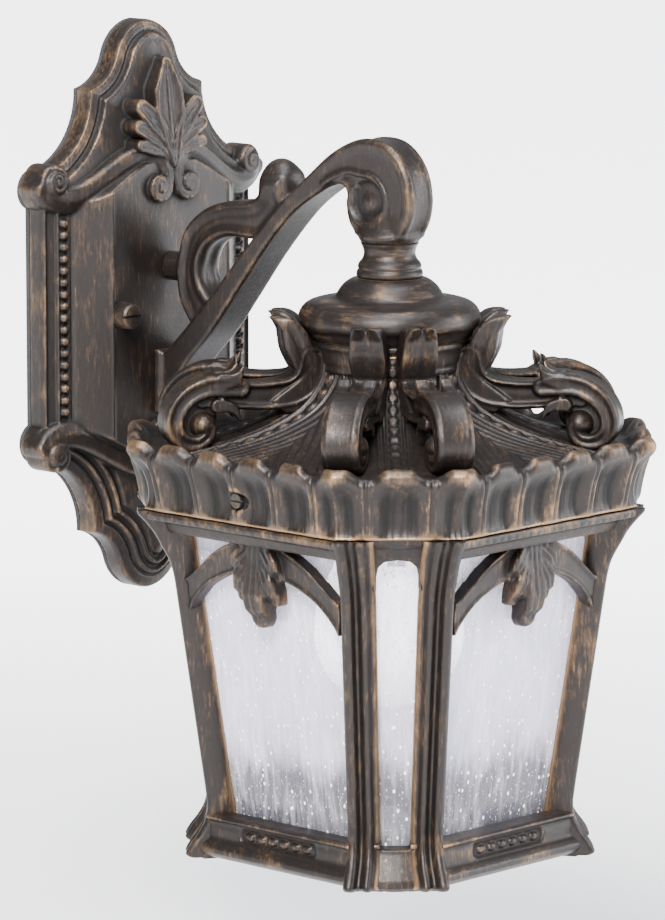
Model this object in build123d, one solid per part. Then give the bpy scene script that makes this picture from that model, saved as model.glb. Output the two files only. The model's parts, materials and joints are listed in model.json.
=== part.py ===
from build123d import *
from math import atan2, cos, degrees, hypot, radians, sin, sqrt, tan
import os

# Outdoor wall lantern: a cast wall plate, a scrolled arm and an eight-sided lantern.
# Row frame: origin on the wall plane at the centre of the wall plate, +Z up,
# +X along the wall, and the lantern stands out towards -Y.  Millimetres.
# Lantern pieces are drawn about their own vertical axis, with height 0 at the parting
# line between roof and cage, and are then moved to REACH from the wall.

# ---------------------------------------------------------------- driving sizes
REACH = 146.5             # wall to the lantern's axis
HEAD_SPAN = 122.5         # reach past the panel that the arm's head is drawn for
PARTING_Z = -65.0         # parting line of roof and cage, seen from the plate's centre

PLATE_HALF_W = 60.0       # wall plate, across its straight sides
PLATE_HALF_H = 118.8      # wall plate, centre to the tip of the crown
PLATE_WALL = 3.5
PLATE_EDGE = 10.0         # wall to the front of the plate's outer edge
STEP_INSET = 3.6          # each step of the edge moulding
STEP_RISE = 2.5
PANEL_HALF_W = 34.5       # raised panel that carries the arm
PANEL_HALF_H = 44.0
PANEL_SLOPE = 11.5        # width of the slope beside the panel
PANEL_DEPTH = 24.0        # wall to the panel's face
RELIEF_DEPTH = 19.0       # wall to the ground of the crown and tail ornament

GASKET_T = 2.0
GASKET_W = 5.5

STRAP_HALF_L = 52.0
STRAP_HALF_W = 8.0
STRAP_T = 2.0
BOX_SCREW_SPACING = 82.5  # wall box screws
BOX_SLOT_L = 14.0
BOX_SLOT_R = 2.4
STRAP_CENTRE_R = 5.1      # central hole of the strap
GROUND_X = 14.0

STUD_SPACING = 57.2
STUD_R = 2.0
CAP_R = 5.2               # slotted cap nuts that hold the plate
CAP_L = 5.5
CAP_WASHER_T = 0.8

BAR_HALF_T = 9.0          # half thickness of the arm's straight bar
HEAD_HALF_T = 7.5         # half thickness of the arm's scroll head
BRANCH_HALF_T = 7.0       # half thickness of the C scroll
COLLAR_R = 12.0
WIREWAY_R = 2.7

NIPPLE_R = 4.95
NIPPLE_BORE = 3.5
NIPPLE_NUT_AF = 14.0
NIPPLE_NUT_T = 4.0
LOCK_WASHER_T = 1.0

SKIRT_HALF = 86.0         # half width of the roof's skirt at the parting line
LIP_OUT = 5.0             # how far the cornice lip stands out beyond the skirt
NECK_HALF = 28.0          # half width of the roof under its collar
ROOF_WALL = 3.0
CORNICE_H = 28.0
NECK_TOP = 65.0           # parting line to the top of the roof collar
ROOF_COLLAR_R = 30.5

DOME_R = 36.5
DOME_TOP = 89.0
DOME_WALL = 2.5
NECK_RING_TOP = 103.0

SCROLL_HALF_T = 7.5
SCROLL_SCREW_R = 1.5

PORCELAIN_R = 19.0
PORCELAIN_H = 44.0
SOCKET_FLOOR = 2.0        # parting line to the mouth of the lampholder
BRACKET_T = 1.6
BRACKET_W = 16.0

BULB_CAP_R = 13.0
BULB_CAP_L = 23.5
BULB_R = 30.0
BULB_L = 110.0
BULB_WALL = 1.0

CAGE_H = 142.0            # parting line to the bottom of the feet
CAGE_TIP_OUT = 1.6        # how far the cage tips stand out beyond the skirt
CAGE_IN = 7.7             # straight post line at the parting line, inside the skirt
CAGE_TAPER = 0.123        # inward lean of the posts
FRAME_T = 8.0
POST_WIDE = 9.5           # post width on a wide side
GLASS_T = 3.0
UPSTAND_T = 2.5
UPSTAND_H = 14.0
LEDGE = 5.0
LEDGE_T = 9.0
SCREW_HEIGHT = 9.6        # cage screws, above the parting line
CAGE_SCREW_R = 2.0

# ---------------------------------------------------------------- clearances
SEAT_GAP = 1.0            # upstand inside the skirt
PARTING_GAP = 0.4
FIT_GAP = 0.05            # threads and running fits
LOOSE_GAP = 0.3           # holes that only clear a screw
TURN_GAP = 0.1            # under a cap nut
PANE_GAP = 0.6            # pane edge to its neighbour's plane
BULB_GAP = 0.3

# ---------------------------------------------------------------- octagon
CUT = 0.40                # corner cut of the octagon as a share of its half width
NARROW = (2 - CUT) / sqrt(2)      # narrow side distance over wide side distance
HIP = sqrt(1 + (1 - CUT) ** 2)    # corner radius over wide side distance
HIP_ANGLE = degrees(atan2(1 - CUT, 1))
HIPS = [quarter * 90 + side * HIP_ANGLE for quarter in range(4) for side in (1, -1)]
FAR = 200.0               # longer than anything in the lantern

LANTERN = Pos(0, -REACH, PARTING_Z)


# ---------------------------------------------------------------- shared helpers
def side_plane_face(points):
    """Closed face in the plane X = 0 from (y, z) points."""
    return outline_face(points, Plane.YZ)


def outline_face(points, plane=Plane.XZ):
    """Closed face from points."""
    return plane * make_face([Polyline(*points, points[0])])


def thick(face, half):
    """Slab of the given half thickness about a face's plane."""
    return extrude(face, half, both=True)


def turned(points):
    """Solid of revolution about Z from (radius, height) points."""
    return revolve(outline_face(points), Axis.Z)


def round_bar(radius, low, high):
    """Upright cylinder between two heights."""
    return Pos(0, 0, (low + high) / 2) * Cylinder(radius, high - low)


def rod(radius, start, end):
    """Cylinder between two points."""
    line = Edge.make_line(start, end)
    disc = Plane(origin=start, z_dir=line.tangent_at(0)) * Circle(radius)
    return extrude(disc, line.length)


def hexagon(across_flats, low, high, bore):
    """Hexagon nut on the Z axis."""
    nut = extrude(Pos(0, 0, low) * RegularPolygon(across_flats / sqrt(3), 6), high - low)
    return nut - round_bar(bore, low - 1, high + 1)


def inset_line(points, wall):
    """Points moved inwards, square to the line, by a wall thickness."""
    moved = []
    for index, (a, h) in enumerate(points):
        back = points[max(index - 1, 0)]
        ahead = points[min(index + 1, len(points) - 1)]
        run, rise = ahead[0] - back[0], ahead[1] - back[1]
        length = hypot(run, rise)
        moved.append((a - wall * rise / length, h + wall * run / length))
    return moved


def octagonal(points, inset=0.0):
    """Solid that is the lantern's octagon at every height of a (half width, height) line."""
    shape = None
    for ratio, angles in ((1.0, (0, 90)), (NARROW, (45, 135))):
        right = [(a * ratio - inset, h) for a, h in points]
        left = [(-a, h) for a, h in reversed(right)]
        slab = thick(outline_face(right + left), FAR)
        for angle in angles:
            turned_slab = Rot(0, 0, angle) * slab
            shape = turned_slab if shape is None else shape & turned_slab
    return shape


def on_sides(shape, angles):
    """Copies of a shape turned about the lantern's axis."""
    return [Rot(0, 0, angle) * shape for angle in angles]


WIDE_SIDES = (0, 90, 180, 270)
NARROW_SIDES = (45, 135, 225, 315)


# ---------------------------------------------------------------- wall plate
OUTLINE_SHARES = [(0.0, 1.0), (0.205, 0.955), (0.29, 0.884), (0.37, 0.816), (0.54, 0.772),
                  (0.625, 0.62), (0.908, 0.51), (1.073, 0.455), (1.0, 0.375)]


def plate_points(inset):
    """Ends and middles of the outline's arcs, clockwise from the crown's tip."""
    quarter = [(x * PLATE_HALF_W, z * PLATE_HALF_H) for x, z in OUTLINE_SHARES]
    right = quarter + [(x, -z) for x, z in reversed(quarter)]
    ring = right + [(-x, z) for x, z in reversed(right)][1:-1]
    moved = []
    for index, (x, z) in enumerate(ring):
        back, ahead = ring[index - 1], ring[(index + 1) % len(ring)]
        run, rise = ahead[0] - back[0], ahead[1] - back[1]
        length = hypot(run, rise)
        moved.append((x + inset * rise / length, z - inset * run / length))
    return moved


def plate_outline(inset=0.0):
    """Plate outline: round crown, shoulders and ears, the same at both ends."""
    points = plate_points(inset)
    points.append(points[0])
    side = len(OUTLINE_SHARES) - 1
    corners = [side, 3 * side + 1]
    edges = []
    index = 0
    while index < len(points) - 1:
        if index in corners:
            edges.append(Line(points[index], points[index + 1]))
            index += 1
        else:
            edges.append(ThreePointArc(*points[index:index + 3]))
            index += 2
    return make_face(edges)


def plate_layer(inset, start, end):
    """Slab of the plate's outline between two distances from the wall."""
    return extrude(Plane.XZ.offset(start) * plate_outline(inset), end - start)


def plate_block(half_w, half_h, start, end, rise=0.0):
    """Block on the plate that narrows by the rise towards its front."""
    back = Plane.XZ.offset(start) * Rectangle(2 * (half_w + rise), 2 * (half_h + rise))
    front = Plane.XZ.offset(end) * Rectangle(2 * half_w, 2 * half_h)
    return loft([back, front])


def arm_screw_places():
    """(x, z, radius) of the screws that hold the arm to the panel."""
    foot = PARTING_Z + 43.0
    return [(5.6, foot, 1.5), (-5.6, foot, 1.5), (0.0, PARTING_Z + 83.0, 2.0)]


def make_backplate():
    step_1 = PLATE_EDGE + STEP_RISE
    step_2 = step_1 + STEP_RISE
    plate = plate_layer(0, GASKET_T, PLATE_EDGE)
    plate += plate_layer(STEP_INSET, PLATE_EDGE, step_1)
    plate += plate_layer(2 * STEP_INSET, step_1, step_2)
    relief = scale(plate_outline(), by=(0.84, 0.84, 1))
    relief = extrude(Plane.XZ.offset(step_2 - 1) * relief, RELIEF_DEPTH - step_2 + 1)
    relief -= Pos(0, -RELIEF_DEPTH / 2, 0) * Box(
        4 * PLATE_HALF_W, 3 * RELIEF_DEPTH, 2 * PANEL_HALF_H)
    plate += relief
    plate += plate_block(PANEL_HALF_W, PANEL_HALF_H, step_2 - 1, PANEL_DEPTH, PANEL_SLOPE)
    plate -= plate_layer(PLATE_WALL, 0, PLATE_EDGE - PLATE_WALL)
    plate -= plate_block(PANEL_HALF_W - PLATE_WALL, PANEL_HALF_H - PLATE_WALL,
                         PLATE_EDGE - PLATE_WALL - 1, PANEL_DEPTH - PLATE_WALL)
    for side in (1, -1):
        stud_hole = rod(STUD_R + LOOSE_GAP, (side * STUD_SPACING / 2, 0, 0),
                        (side * STUD_SPACING / 2, -2 * PANEL_DEPTH, 0))
        plate -= stud_hole
    for x, z, radius in arm_screw_places():
        plate -= rod(radius + FIT_GAP, (x, 0, z), (x, -2 * PANEL_DEPTH, z))
    plate -= rod(WIREWAY_R + 1.5, (0, 0, wire_entry_z()), (0, -PANEL_DEPTH, wire_entry_z()))
    return plate


def make_gasket():
    ring = plate_layer(0, 0, GASKET_T) - plate_layer(GASKET_W, -1, GASKET_T + 1)
    return ring


def make_strap():
    strap = Pos(0, -STRAP_T / 2, 0) * Box(2 * STRAP_HALF_L, STRAP_T, 2 * STRAP_HALF_W)
    strap = fillet(strap.edges().filter_by(Axis.Y), 3)
    slot = Plane.XZ * SlotOverall(BOX_SLOT_L, 2 * BOX_SLOT_R)
    for side in (1, -1):
        strap -= Pos(side * BOX_SCREW_SPACING / 2, 0, 0) * thick(slot, 2 * STRAP_T)
        x = side * STUD_SPACING / 2
        strap -= rod(STUD_R + FIT_GAP, (x, STRAP_T, 0), (x, -2 * STRAP_T, 0))
    strap -= rod(STRAP_CENTRE_R, (0, STRAP_T, 0), (0, -2 * STRAP_T, 0))
    strap -= rod(STUD_R + FIT_GAP, (GROUND_X, STRAP_T, 0), (GROUND_X, -2 * STRAP_T, 0))
    return strap


def make_ground_screw():
    head = rod(3.6, (GROUND_X, -STRAP_T, 0), (GROUND_X, -STRAP_T - 2.4, 0))
    head -= Pos(GROUND_X, -STRAP_T - 2.4, 0) * Box(8, 1.4, 1.0)
    return head + rod(STUD_R, (GROUND_X, 0, 0), (GROUND_X, -STRAP_T - 0.5, 0))


def make_studs():
    end = PANEL_DEPTH + CAP_L - 2.5
    return [rod(STUD_R, (side * STUD_SPACING / 2, 0, 0), (side * STUD_SPACING / 2, -end, 0))
            for side in (1, -1)]


def make_stud_nuts():
    nut = Plane.XZ.offset(STRAP_T) * hexagon(7, 0, 3, STUD_R + FIT_GAP)
    return [Pos(side * STUD_SPACING / 2, 0, 0) * nut for side in (1, -1)]


def make_cap_washers():
    start, end = PANEL_DEPTH, PANEL_DEPTH + CAP_WASHER_T
    washers = []
    for side in (1, -1):
        x = side * STUD_SPACING / 2
        ring = rod(CAP_R + 0.5, (x, -start, 0), (x, -end, 0))
        washers.append(ring - rod(STUD_R + LOOSE_GAP, (x, 0, 0), (x, -2 * end, 0)))
    return washers


def make_cap_nut(side):
    x = side * STUD_SPACING / 2
    start = PANEL_DEPTH + CAP_WASHER_T + TURN_GAP
    end = start + CAP_L
    barrel = rod(CAP_R, (x, -start, 0), (x, -end, 0))
    rims = barrel.edges().filter_by(GeomType.CIRCLE).sort_by(Axis.Y)
    barrel = chamfer(rims[0], 0.8)
    barrel -= rod(STUD_R + FIT_GAP, (x, -start + 1, 0), (x, -end + 1.6, 0))
    slot_depth = 1.0
    return barrel - Pos(x, -end, 0) * Box(3 * CAP_R, 2 * slot_depth, 1.3)


# ---------------------------------------------------------------- arm
def arm_line(shares):
    """Arm points between panel and axis, from (share of the span, height)."""
    span = REACH - PANEL_DEPTH
    return [(-(PANEL_DEPTH + share * span), PARTING_Z + h) for share, h in shares]


def head_line(offsets):
    """Arm points about the lantern's axis, from (distance towards the wall, height)."""
    stretch = (REACH - PANEL_DEPTH) / HEAD_SPAN
    return [(-REACH + d * stretch, PARTING_Z + h) for d, h in offsets]


BAR_UPPER = [(0.0, 45.0), (0.057, 50.8), (0.23, 71.3), (0.398, 93.5), (0.562, 113.4)]
BAR_LOWER = [(0.62, 110.8), (0.482, 93.3), (0.351, 73.6), (0.247, 58.2), (0.135, 44.5),
             (0.06, 30.0), (0.0, 25.4)]
HEAD_OUTER = [(38.5, 127.0), (26.5, 136.5), (14.5, 142.3), (5.5, 143.8), (-3.5, 142.5),
              (-11.0, 137.3), (-15.6, 130.0), (-17.5, 121.5), (-16.2, 112.0)]
HEAD_INNER = [(16.3, 112.0), (18.0, 120.0), (31.5, 121.0)]
BRANCH_OUTER = [(0.56, 124.0), (0.49, 123.0), (0.455, 117.5), (0.40, 114.8), (0.31, 113.5),
                (0.20, 109.5), (0.11, 101.0), (0.075, 90.0), (0.065, 80.0), (0.08, 70.0),
                (0.12, 62.0), (0.17, 56.0)]
BRANCH_INNER = [(0.27, 68.0), (0.225, 73.0), (0.19, 79.0), (0.185, 86.0), (0.22, 93.5),
                (0.30, 97.8), (0.40, 98.0), (0.47, 98.0)]


def wireway_points():
    """Corners of the wire passage, from behind the panel to the nipple."""
    return arm_line([(-0.04, 28.8), (0.67, 121.3)]) + head_line([(0.0, 133.0), (0.0, 100.0)])


def wire_entry_z():
    """Height at which the wire passage meets the panel's face."""
    (y0, z0), (y1, z1) = wireway_points()[:2]
    return z0 + (z1 - z0) * (-PANEL_DEPTH - y0) / (y1 - y0)


def make_wireway():
    points = [(0, y, z) for y, z in wireway_points()]
    path = FilletPolyline(*points, radius=9)
    start = Plane(origin=path @ 0, z_dir=path % 0)
    return sweep(start * Circle(WIREWAY_R), path)


def make_arm():
    collar = [(-COLLAR_R, NECK_RING_TOP), (COLLAR_R, NECK_RING_TOP)]
    upper = arm_line(BAR_UPPER) + head_line(HEAD_OUTER)
    lower = head_line(HEAD_INNER) + arm_line(BAR_LOWER)
    bottom = [(y - REACH, PARTING_Z + h) for y, h in collar]
    side = Plane.YZ * make_face([
        Spline(*upper), Line(upper[-1], bottom[0]), Line(bottom[0], bottom[1]),
        Line(bottom[1], lower[0]), Spline(*lower), Line(lower[-1], upper[0])])
    arm = thick(side, HEAD_HALF_T)

    bar = arm_line(BAR_UPPER + BAR_LOWER)
    arm += thick(side_plane_face(bar), BAR_HALF_T)
    foot_z = PARTING_Z + 36.0
    arm += extrude(Plane.XZ.offset(PANEL_DEPTH) * Pos(0, foot_z) * RectangleRounded(
        2 * BAR_HALF_T + 3, 26, 4), 3)
    arm += LANTERN * round_bar(COLLAR_R, NECK_RING_TOP, NECK_RING_TOP + 6)
    arm += LANTERN * round_bar(NIPPLE_R + 3.2, NECK_RING_TOP, NECK_RING_TOP + 20)

    outer, inner = arm_line(BRANCH_OUTER), arm_line(BRANCH_INNER)
    inside_bar = arm_line([(0.59, 112.0)])[0]
    branch = thick(Plane.YZ * make_face([
        Spline(*outer), Line(outer[-1], inner[0]), Spline(*inner),
        Polyline(inner[-1], inside_bar, outer[0])]), BRANCH_HALF_T)
    knob_y, knob_z = arm_line([(0.535, 130.0)])[0]
    branch += Pos(0, knob_y, knob_z) * Rot(0, 90, 0) * Cylinder(7.5, 2 * BRANCH_HALF_T)
    stub_z = arm_screw_places()[2][1]
    branch += rod(6.5, (0, -PANEL_DEPTH, stub_z), (0, -PANEL_DEPTH - 12, stub_z))
    arm += branch
    arm -= make_wireway()
    arm -= LANTERN * round_bar(NIPPLE_R + FIT_GAP, NECK_RING_TOP - 1, NECK_RING_TOP + 15)
    for x, z, radius in arm_screw_places():
        arm -= rod(radius + FIT_GAP, (x, 0, z), (x, -PANEL_DEPTH - 9, z))
    return arm


def make_arm_screws():
    screws = []
    seat = PANEL_DEPTH - PLATE_WALL
    for x, z, radius in arm_screw_places():
        shank = rod(radius, (x, -seat, z), (x, -PANEL_DEPTH - 8, z))
        head = rod(1.8 * radius, (x, -seat, z), (x, -seat + 2.2, z))
        head -= Pos(x, -seat + 2.2, z) * Box(1.0, 1.6, 4 * radius)
        screws.append(shank + head)
    return screws


# ---------------------------------------------------------------- roof
def roof_line():
    """Outside of the roof, from the skirt's foot up to the neck."""
    skirt = [(0.0, 0.0), (0.6, 6.0), (2.2, 13.0), (LIP_OUT, 20.5)]
    line = [(SKIRT_HALF + out, h) for out, h in skirt]
    fall = [(0.86, 21.5), (0.775, 23.0), (0.55, 26.3), (0.38, 30.0), (0.22, 35.0),
            (0.12, 40.0), (0.05, 46.0), (0.0, 54.0)]
    span = SKIRT_HALF - NECK_HALF
    line += [(NECK_HALF + share * span, h) for share, h in fall]
    return line


def bracket_top():
    """Underside of the roof's crown, where the socket bracket is clamped."""
    return NECK_TOP - 4.0


def roof_solid():
    return octagonal(roof_line() + [(NECK_HALF, NECK_TOP - 2)])


def scroll_screw_height():
    return 44.0


def make_roof():
    roof = roof_solid()
    lip = SKIRT_HALF + LIP_OUT
    crest = octagonal([(lip - 2.0, CORNICE_H - 11), (lip, CORNICE_H - 7.5), (lip - 1.2, CORNICE_H - 2),
                       (lip - 3.5, CORNICE_H)])
    crest -= octagonal([(lip - 7.0, 0), (lip - 7.0, 2 * CORNICE_H)])
    roof += crest
    roof += round_bar(ROOF_COLLAR_R, NECK_TOP - 12, NECK_TOP)
    inner = inset_line(roof_line(), ROOF_WALL)
    inner = [(SKIRT_HALF - ROOF_WALL, -1.0)] + inner[1:] + [(NECK_HALF - ROOF_WALL, bracket_top())]
    roof -= octagonal(inner)
    roof -= round_bar(NIPPLE_R + LOOSE_GAP, 0, 2 * NECK_TOP)
    for side in (1, -1):
        roof -= skirt_screw_hole(side)
    for angle in HIPS:
        height = scroll_screw_height()
        drill = rod(SCROLL_SCREW_R + FIT_GAP, (0, 0, height), (FAR, 0, height))
        seat = rod(2 * SCROLL_SCREW_R + LOOSE_GAP, (0, 0, height), (scroll_seat(), 0, height))
        roof -= [Rot(0, 0, angle) * drill, Rot(0, 0, angle) * seat]
    return LANTERN * roof


def skirt_screw_hole(side):
    """Countersunk oval hole in the skirt for a cage screw."""
    outer = skirt_face()
    hole = rod(CAGE_SCREW_R + LOOSE_GAP, (side * (outer - 10), 0, SCREW_HEIGHT),
               (side * (outer + 5), 0, SCREW_HEIGHT))
    oval = Plane.YZ * SlotOverall(9.6, 6.6)
    recess = Pos(side * (outer + 5), 0, SCREW_HEIGHT) * thick(oval, 5 + screw_sink())
    return [hole, recess]


def screw_sink():
    """Depth of the oval recess below the skirt's face."""
    return 1.5


def skirt_face():
    """Half width of the skirt's outside at the height of the cage screws."""
    low, high = roof_line()[1:3]
    share = (SCREW_HEIGHT - low[1]) / (high[1] - low[1])
    return low[0] + share * (high[0] - low[0])


def scroll_seat():
    """Radius of the screw seats inside the roof's hips."""
    (low_a, low_h), (high_a, high_h) = [
        pair for pair in zip(roof_line(), roof_line()[1:])
        if pair[0][1] <= scroll_screw_height() <= pair[1][1]][0]
    share = (scroll_screw_height() - low_h) / (high_h - low_h)
    return (low_a + share * (high_a - low_a)) * HIP - 1.2 * ROOF_WALL


def make_dome_cap():
    line = [(ROOF_COLLAR_R + 1, NECK_TOP), (DOME_R - 2, NECK_TOP + 3.5), (DOME_R, NECK_TOP + 7.5),
            (DOME_R - 1.8, NECK_TOP + 11), (DOME_R - 6.5, NECK_TOP + 13.8), (25.5, 80.6),
            (20.0, 85.2), (15.5, DOME_TOP - 0.6), (13.0, DOME_TOP)]
    rim = [(0, DOME_TOP), (0, NECK_TOP)]
    cap = turned(line + rim)
    inner = [(ROOF_COLLAR_R - 3, NECK_TOP - 1), (DOME_R - 2 - DOME_WALL, NECK_TOP + 4.5),
             (DOME_R - DOME_WALL - 1, NECK_TOP + 7.5), (DOME_R - 8, NECK_TOP + 11),
             (24.0, 78.0), (18.5, 82.5), (14.0, DOME_TOP - DOME_WALL), (0, DOME_TOP - DOME_WALL),
             (0, NECK_TOP - 1)]
    cap -= turned(inner)
    cap -= round_bar(NIPPLE_R + LOOSE_GAP, 0, 2 * DOME_TOP)
    return LANTERN * cap


def make_neck_ring():
    ring = turned([(0, DOME_TOP), (12.3, DOME_TOP), (12.9, DOME_TOP + 2.2), (12.3, DOME_TOP + 4.6),
                   (10.8, DOME_TOP + 7), (10.3, DOME_TOP + 9.5), (10.8, DOME_TOP + 11.5),
                   (COLLAR_R - 0.4, NECK_RING_TOP), (0, NECK_RING_TOP)])
    return LANTERN * (ring - round_bar(NIPPLE_R + LOOSE_GAP, 0, 2 * DOME_TOP))


def make_nipple():
    low = bracket_top() - BRACKET_T - LOCK_WASHER_T - NIPPLE_NUT_T - 1
    tube = round_bar(NIPPLE_R, low, NECK_RING_TOP + 14)
    return LANTERN * (tube - round_bar(NIPPLE_BORE, 0, 2 * NECK_RING_TOP))


def make_lock_washer():
    high = bracket_top() - BRACKET_T
    ring = round_bar(7.6, high - LOCK_WASHER_T, high)
    return LANTERN * (ring - round_bar(NIPPLE_R + FIT_GAP, 0, 2 * high))


def make_nipple_nut():
    high = bracket_top() - BRACKET_T - LOCK_WASHER_T
    return LANTERN * hexagon(NIPPLE_NUT_AF, high - NIPPLE_NUT_T, high, NIPPLE_R + FIT_GAP)


# ---------------------------------------------------------------- roof scrolls
SCROLL_LEAF = [(6.1, 56.3), (9.4, 62.1), (11.8, 67.7), (14.2, 71.3), (17.8, 73.0), (21.8, 73.4)]
SCROLL_BELLY = [(21.8, 73.4), (20.6, 70.4), (18.7, 67.3), (18.3, 62.5), (18.1, 57.7), (19.0, 52.2),
                (22.0, 50.2)]
SCROLL_CURL = [(-39.0, 50.0), (-34.6, 52.4), (-28.0, 52.4), (-22.2, 51.8), (-15.2, 48.0),
               (-9.1, 41.1), (-6.6, 34.4), (-7.9, 28.5), (-14.8, 22.8), (-22.2, 23.4),
               (-27.5, 28.9), (-29.0, 34.0), (-33.5, 36.4), (-38.0, 38.2)]


def make_scroll(angle):
    """One cast scroll on a roof hip: an upright leaf, a stem and an outer curl."""
    foot = NECK_HALF
    tip = (SKIRT_HALF) * HIP
    leaf = [(foot + r, h) for r, h in SCROLL_LEAF]
    belly = [(foot + r, h) for r, h in SCROLL_BELLY]
    curl = [(tip + r, h) for r, h in SCROLL_CURL]
    root = [(foot + 16, 36.9), (foot + 2, 38.0), (foot + 2, 54.0)]
    side = Plane.XZ * make_face([
        Spline(*leaf), Spline(*belly), Line(belly[-1], curl[0]), Spline(*curl),
        Polyline(curl[-1], *root, leaf[0])])
    scroll = Rot(0, 0, angle) * thick(side, SCROLL_HALF_T)
    scroll -= roof_solid()
    scroll -= round_bar(ROOF_COLLAR_R + FIT_GAP, 0, NECK_TOP)
    scroll -= octagonal([(SKIRT_HALF - 2, 0), (SKIRT_HALF - 2, CORNICE_H + 1)]) - octagonal(
        [(SKIRT_HALF - 4, -1), (SKIRT_HALF - 4, CORNICE_H + 2)])
    height = scroll_screw_height()
    drill = rod(SCROLL_SCREW_R + FIT_GAP, (0, 0, height), (foot + 18, 0, height))
    scroll -= Rot(0, 0, angle) * drill
    return LANTERN * scroll.solids().sort_by(SortBy.VOLUME)[-1]


def make_scroll_screws():
    height, seat = scroll_screw_height(), scroll_seat()
    shank = rod(SCROLL_SCREW_R, (seat, 0, height), (NECK_HALF + 17, 0, height))
    head = rod(2 * SCROLL_SCREW_R, (seat - 1.8, 0, height), (seat, 0, height))
    head -= Pos(seat - 1.8, 0, height) * Box(1.2, 8, 0.8)
    return [LANTERN * Rot(0, 0, angle) * (shank + head) for angle in HIPS]


# ---------------------------------------------------------------- lampholder and bulb
def bracket_half():
    """Half length of the bracket, inside the roof's neck."""
    return NECK_HALF - ROOF_WALL - 3.0


def porcelain_top():
    return SOCKET_FLOOR + PORCELAIN_H


SOCKET_SCREW_X = 12.0
SOCKET_SCREW_R = 1.6


def make_socket_bracket():
    half, top, seat = bracket_half(), bracket_top(), porcelain_top()
    flat = Pos(0, 0, top - BRACKET_T / 2) * Box(2 * half, BRACKET_W, BRACKET_T)
    leg = Pos(half - BRACKET_T / 2, 0, (top + seat) / 2) * Box(BRACKET_T, BRACKET_W, top - seat)
    foot = Pos(0, 0, seat + BRACKET_T / 2) * Box(2 * half, BRACKET_W, BRACKET_T)
    bracket = flat + leg + foot
    bracket -= round_bar(NIPPLE_R + LOOSE_GAP, seat + 2 * BRACKET_T, top + 1)
    bracket -= round_bar(NIPPLE_BORE, seat - 1, seat + 2 * BRACKET_T)
    for x in (SOCKET_SCREW_X, -SOCKET_SCREW_X):
        bracket -= Pos(x, 0, 0) * round_bar(SOCKET_SCREW_R + FIT_GAP, seat - 1, seat + 3)
    return LANTERN * bracket


def make_socket_screws():
    seat = porcelain_top() + BRACKET_T
    screw = round_bar(SOCKET_SCREW_R, seat - 9, seat) + round_bar(3.0, seat, seat + 2.0)
    screw -= Pos(0, 0, seat + 2.0) * Box(8, 0.8, 1.4)
    return [LANTERN * Pos(x, 0, 0) * screw for x in (SOCKET_SCREW_X, -SOCKET_SCREW_X)]


def shell_radius():
    """Inside radius of the screw shell."""
    return BULB_CAP_R + BULB_GAP


SHELL_T = 0.5


def cavity_top():
    return SOCKET_FLOOR + BULB_CAP_L + 3.5


def make_lampholder():
    low, top = SOCKET_FLOOR, porcelain_top()
    body = turned([(0, low), (PORCELAIN_R - 1.5, low), (PORCELAIN_R, low + 2), (PORCELAIN_R, low + 16),
                   (PORCELAIN_R - 2, low + 19), (PORCELAIN_R - 2, top - 2), (PORCELAIN_R - 4, top),
                   (0, top)])
    cavity = round_bar(shell_radius() + SHELL_T, low - 1, cavity_top())
    body -= cavity
    body -= round_bar(NIPPLE_BORE, low, top + 1)
    for x in (SOCKET_SCREW_X, -SOCKET_SCREW_X):
        body -= Pos(x, 0, 0) * round_bar(SOCKET_SCREW_R + FIT_GAP, top - 9, top + 1)
    return LANTERN * body


def make_screw_shell():
    outer = shell_radius() + SHELL_T
    tube = round_bar(outer, SOCKET_FLOOR + 1, cavity_top())
    tube -= round_bar(shell_radius(), SOCKET_FLOOR, cavity_top() - SHELL_T)
    tube -= round_bar(6.0, SOCKET_FLOOR, cavity_top() + 1)
    return LANTERN * tube


def contact_top():
    """Height of the bulb's end contact."""
    return SOCKET_FLOOR + BULB_CAP_L - 0.1


def make_centre_contact():
    low = contact_top() + BULB_GAP
    disc = round_bar(4.5, low, low + 0.8)
    post = round_bar(1.8, low, cavity_top() + 4)
    rivet = round_bar(NIPPLE_BORE, cavity_top(), cavity_top() + 4)
    return LANTERN * (disc + post + rivet)


def make_bulb_cap():
    low = contact_top() - BULB_CAP_L
    top = contact_top()
    cap = turned([(0, low), (BULB_CAP_R, low), (BULB_CAP_R, top - 4.5), (BULB_CAP_R - 3, top - 2.0),
                  (4.6, top - 0.8), (4.0, top), (0, top)])
    return LANTERN * cap


def bulb_neck():
    return contact_top() - BULB_CAP_L


def bulb_line(inset=0.0):
    """Outline of the glass bulb from its neck to its tip, (radius, height)."""
    neck, tip = bulb_neck(), contact_top() - BULB_L
    centre = tip + BULB_R
    length = neck - centre
    side = [(BULB_CAP_R - 0.4, neck), (BULB_CAP_R + 0.8, neck - 0.14 * length),
            (BULB_CAP_R + 5.5, neck - 0.36 * length), (BULB_R - 3.5, neck - 0.68 * length),
            (BULB_R, centre)]
    return [(r - inset, h) for r, h in side], centre, tip + inset


def bulb_solid(inset=0.0):
    side, centre, tip = bulb_line(inset)
    equator = side[-1]
    neck = side[0]
    middle = ((equator[0]) * cos(radians(45)), centre - (centre - tip) * sin(radians(45)))
    face = make_face([
        Line((0, neck[1]), neck), Spline(*side, tangents=[(0.1, -1), (0, -1)]),
        ThreePointArc(equator, middle, (0, tip)), Line((0, tip), (0, neck[1]))])
    return revolve(Plane.XZ * face, Axis.Z)


def make_bulb_glass():
    return LANTERN * (bulb_solid() - bulb_solid(BULB_WALL))


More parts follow.
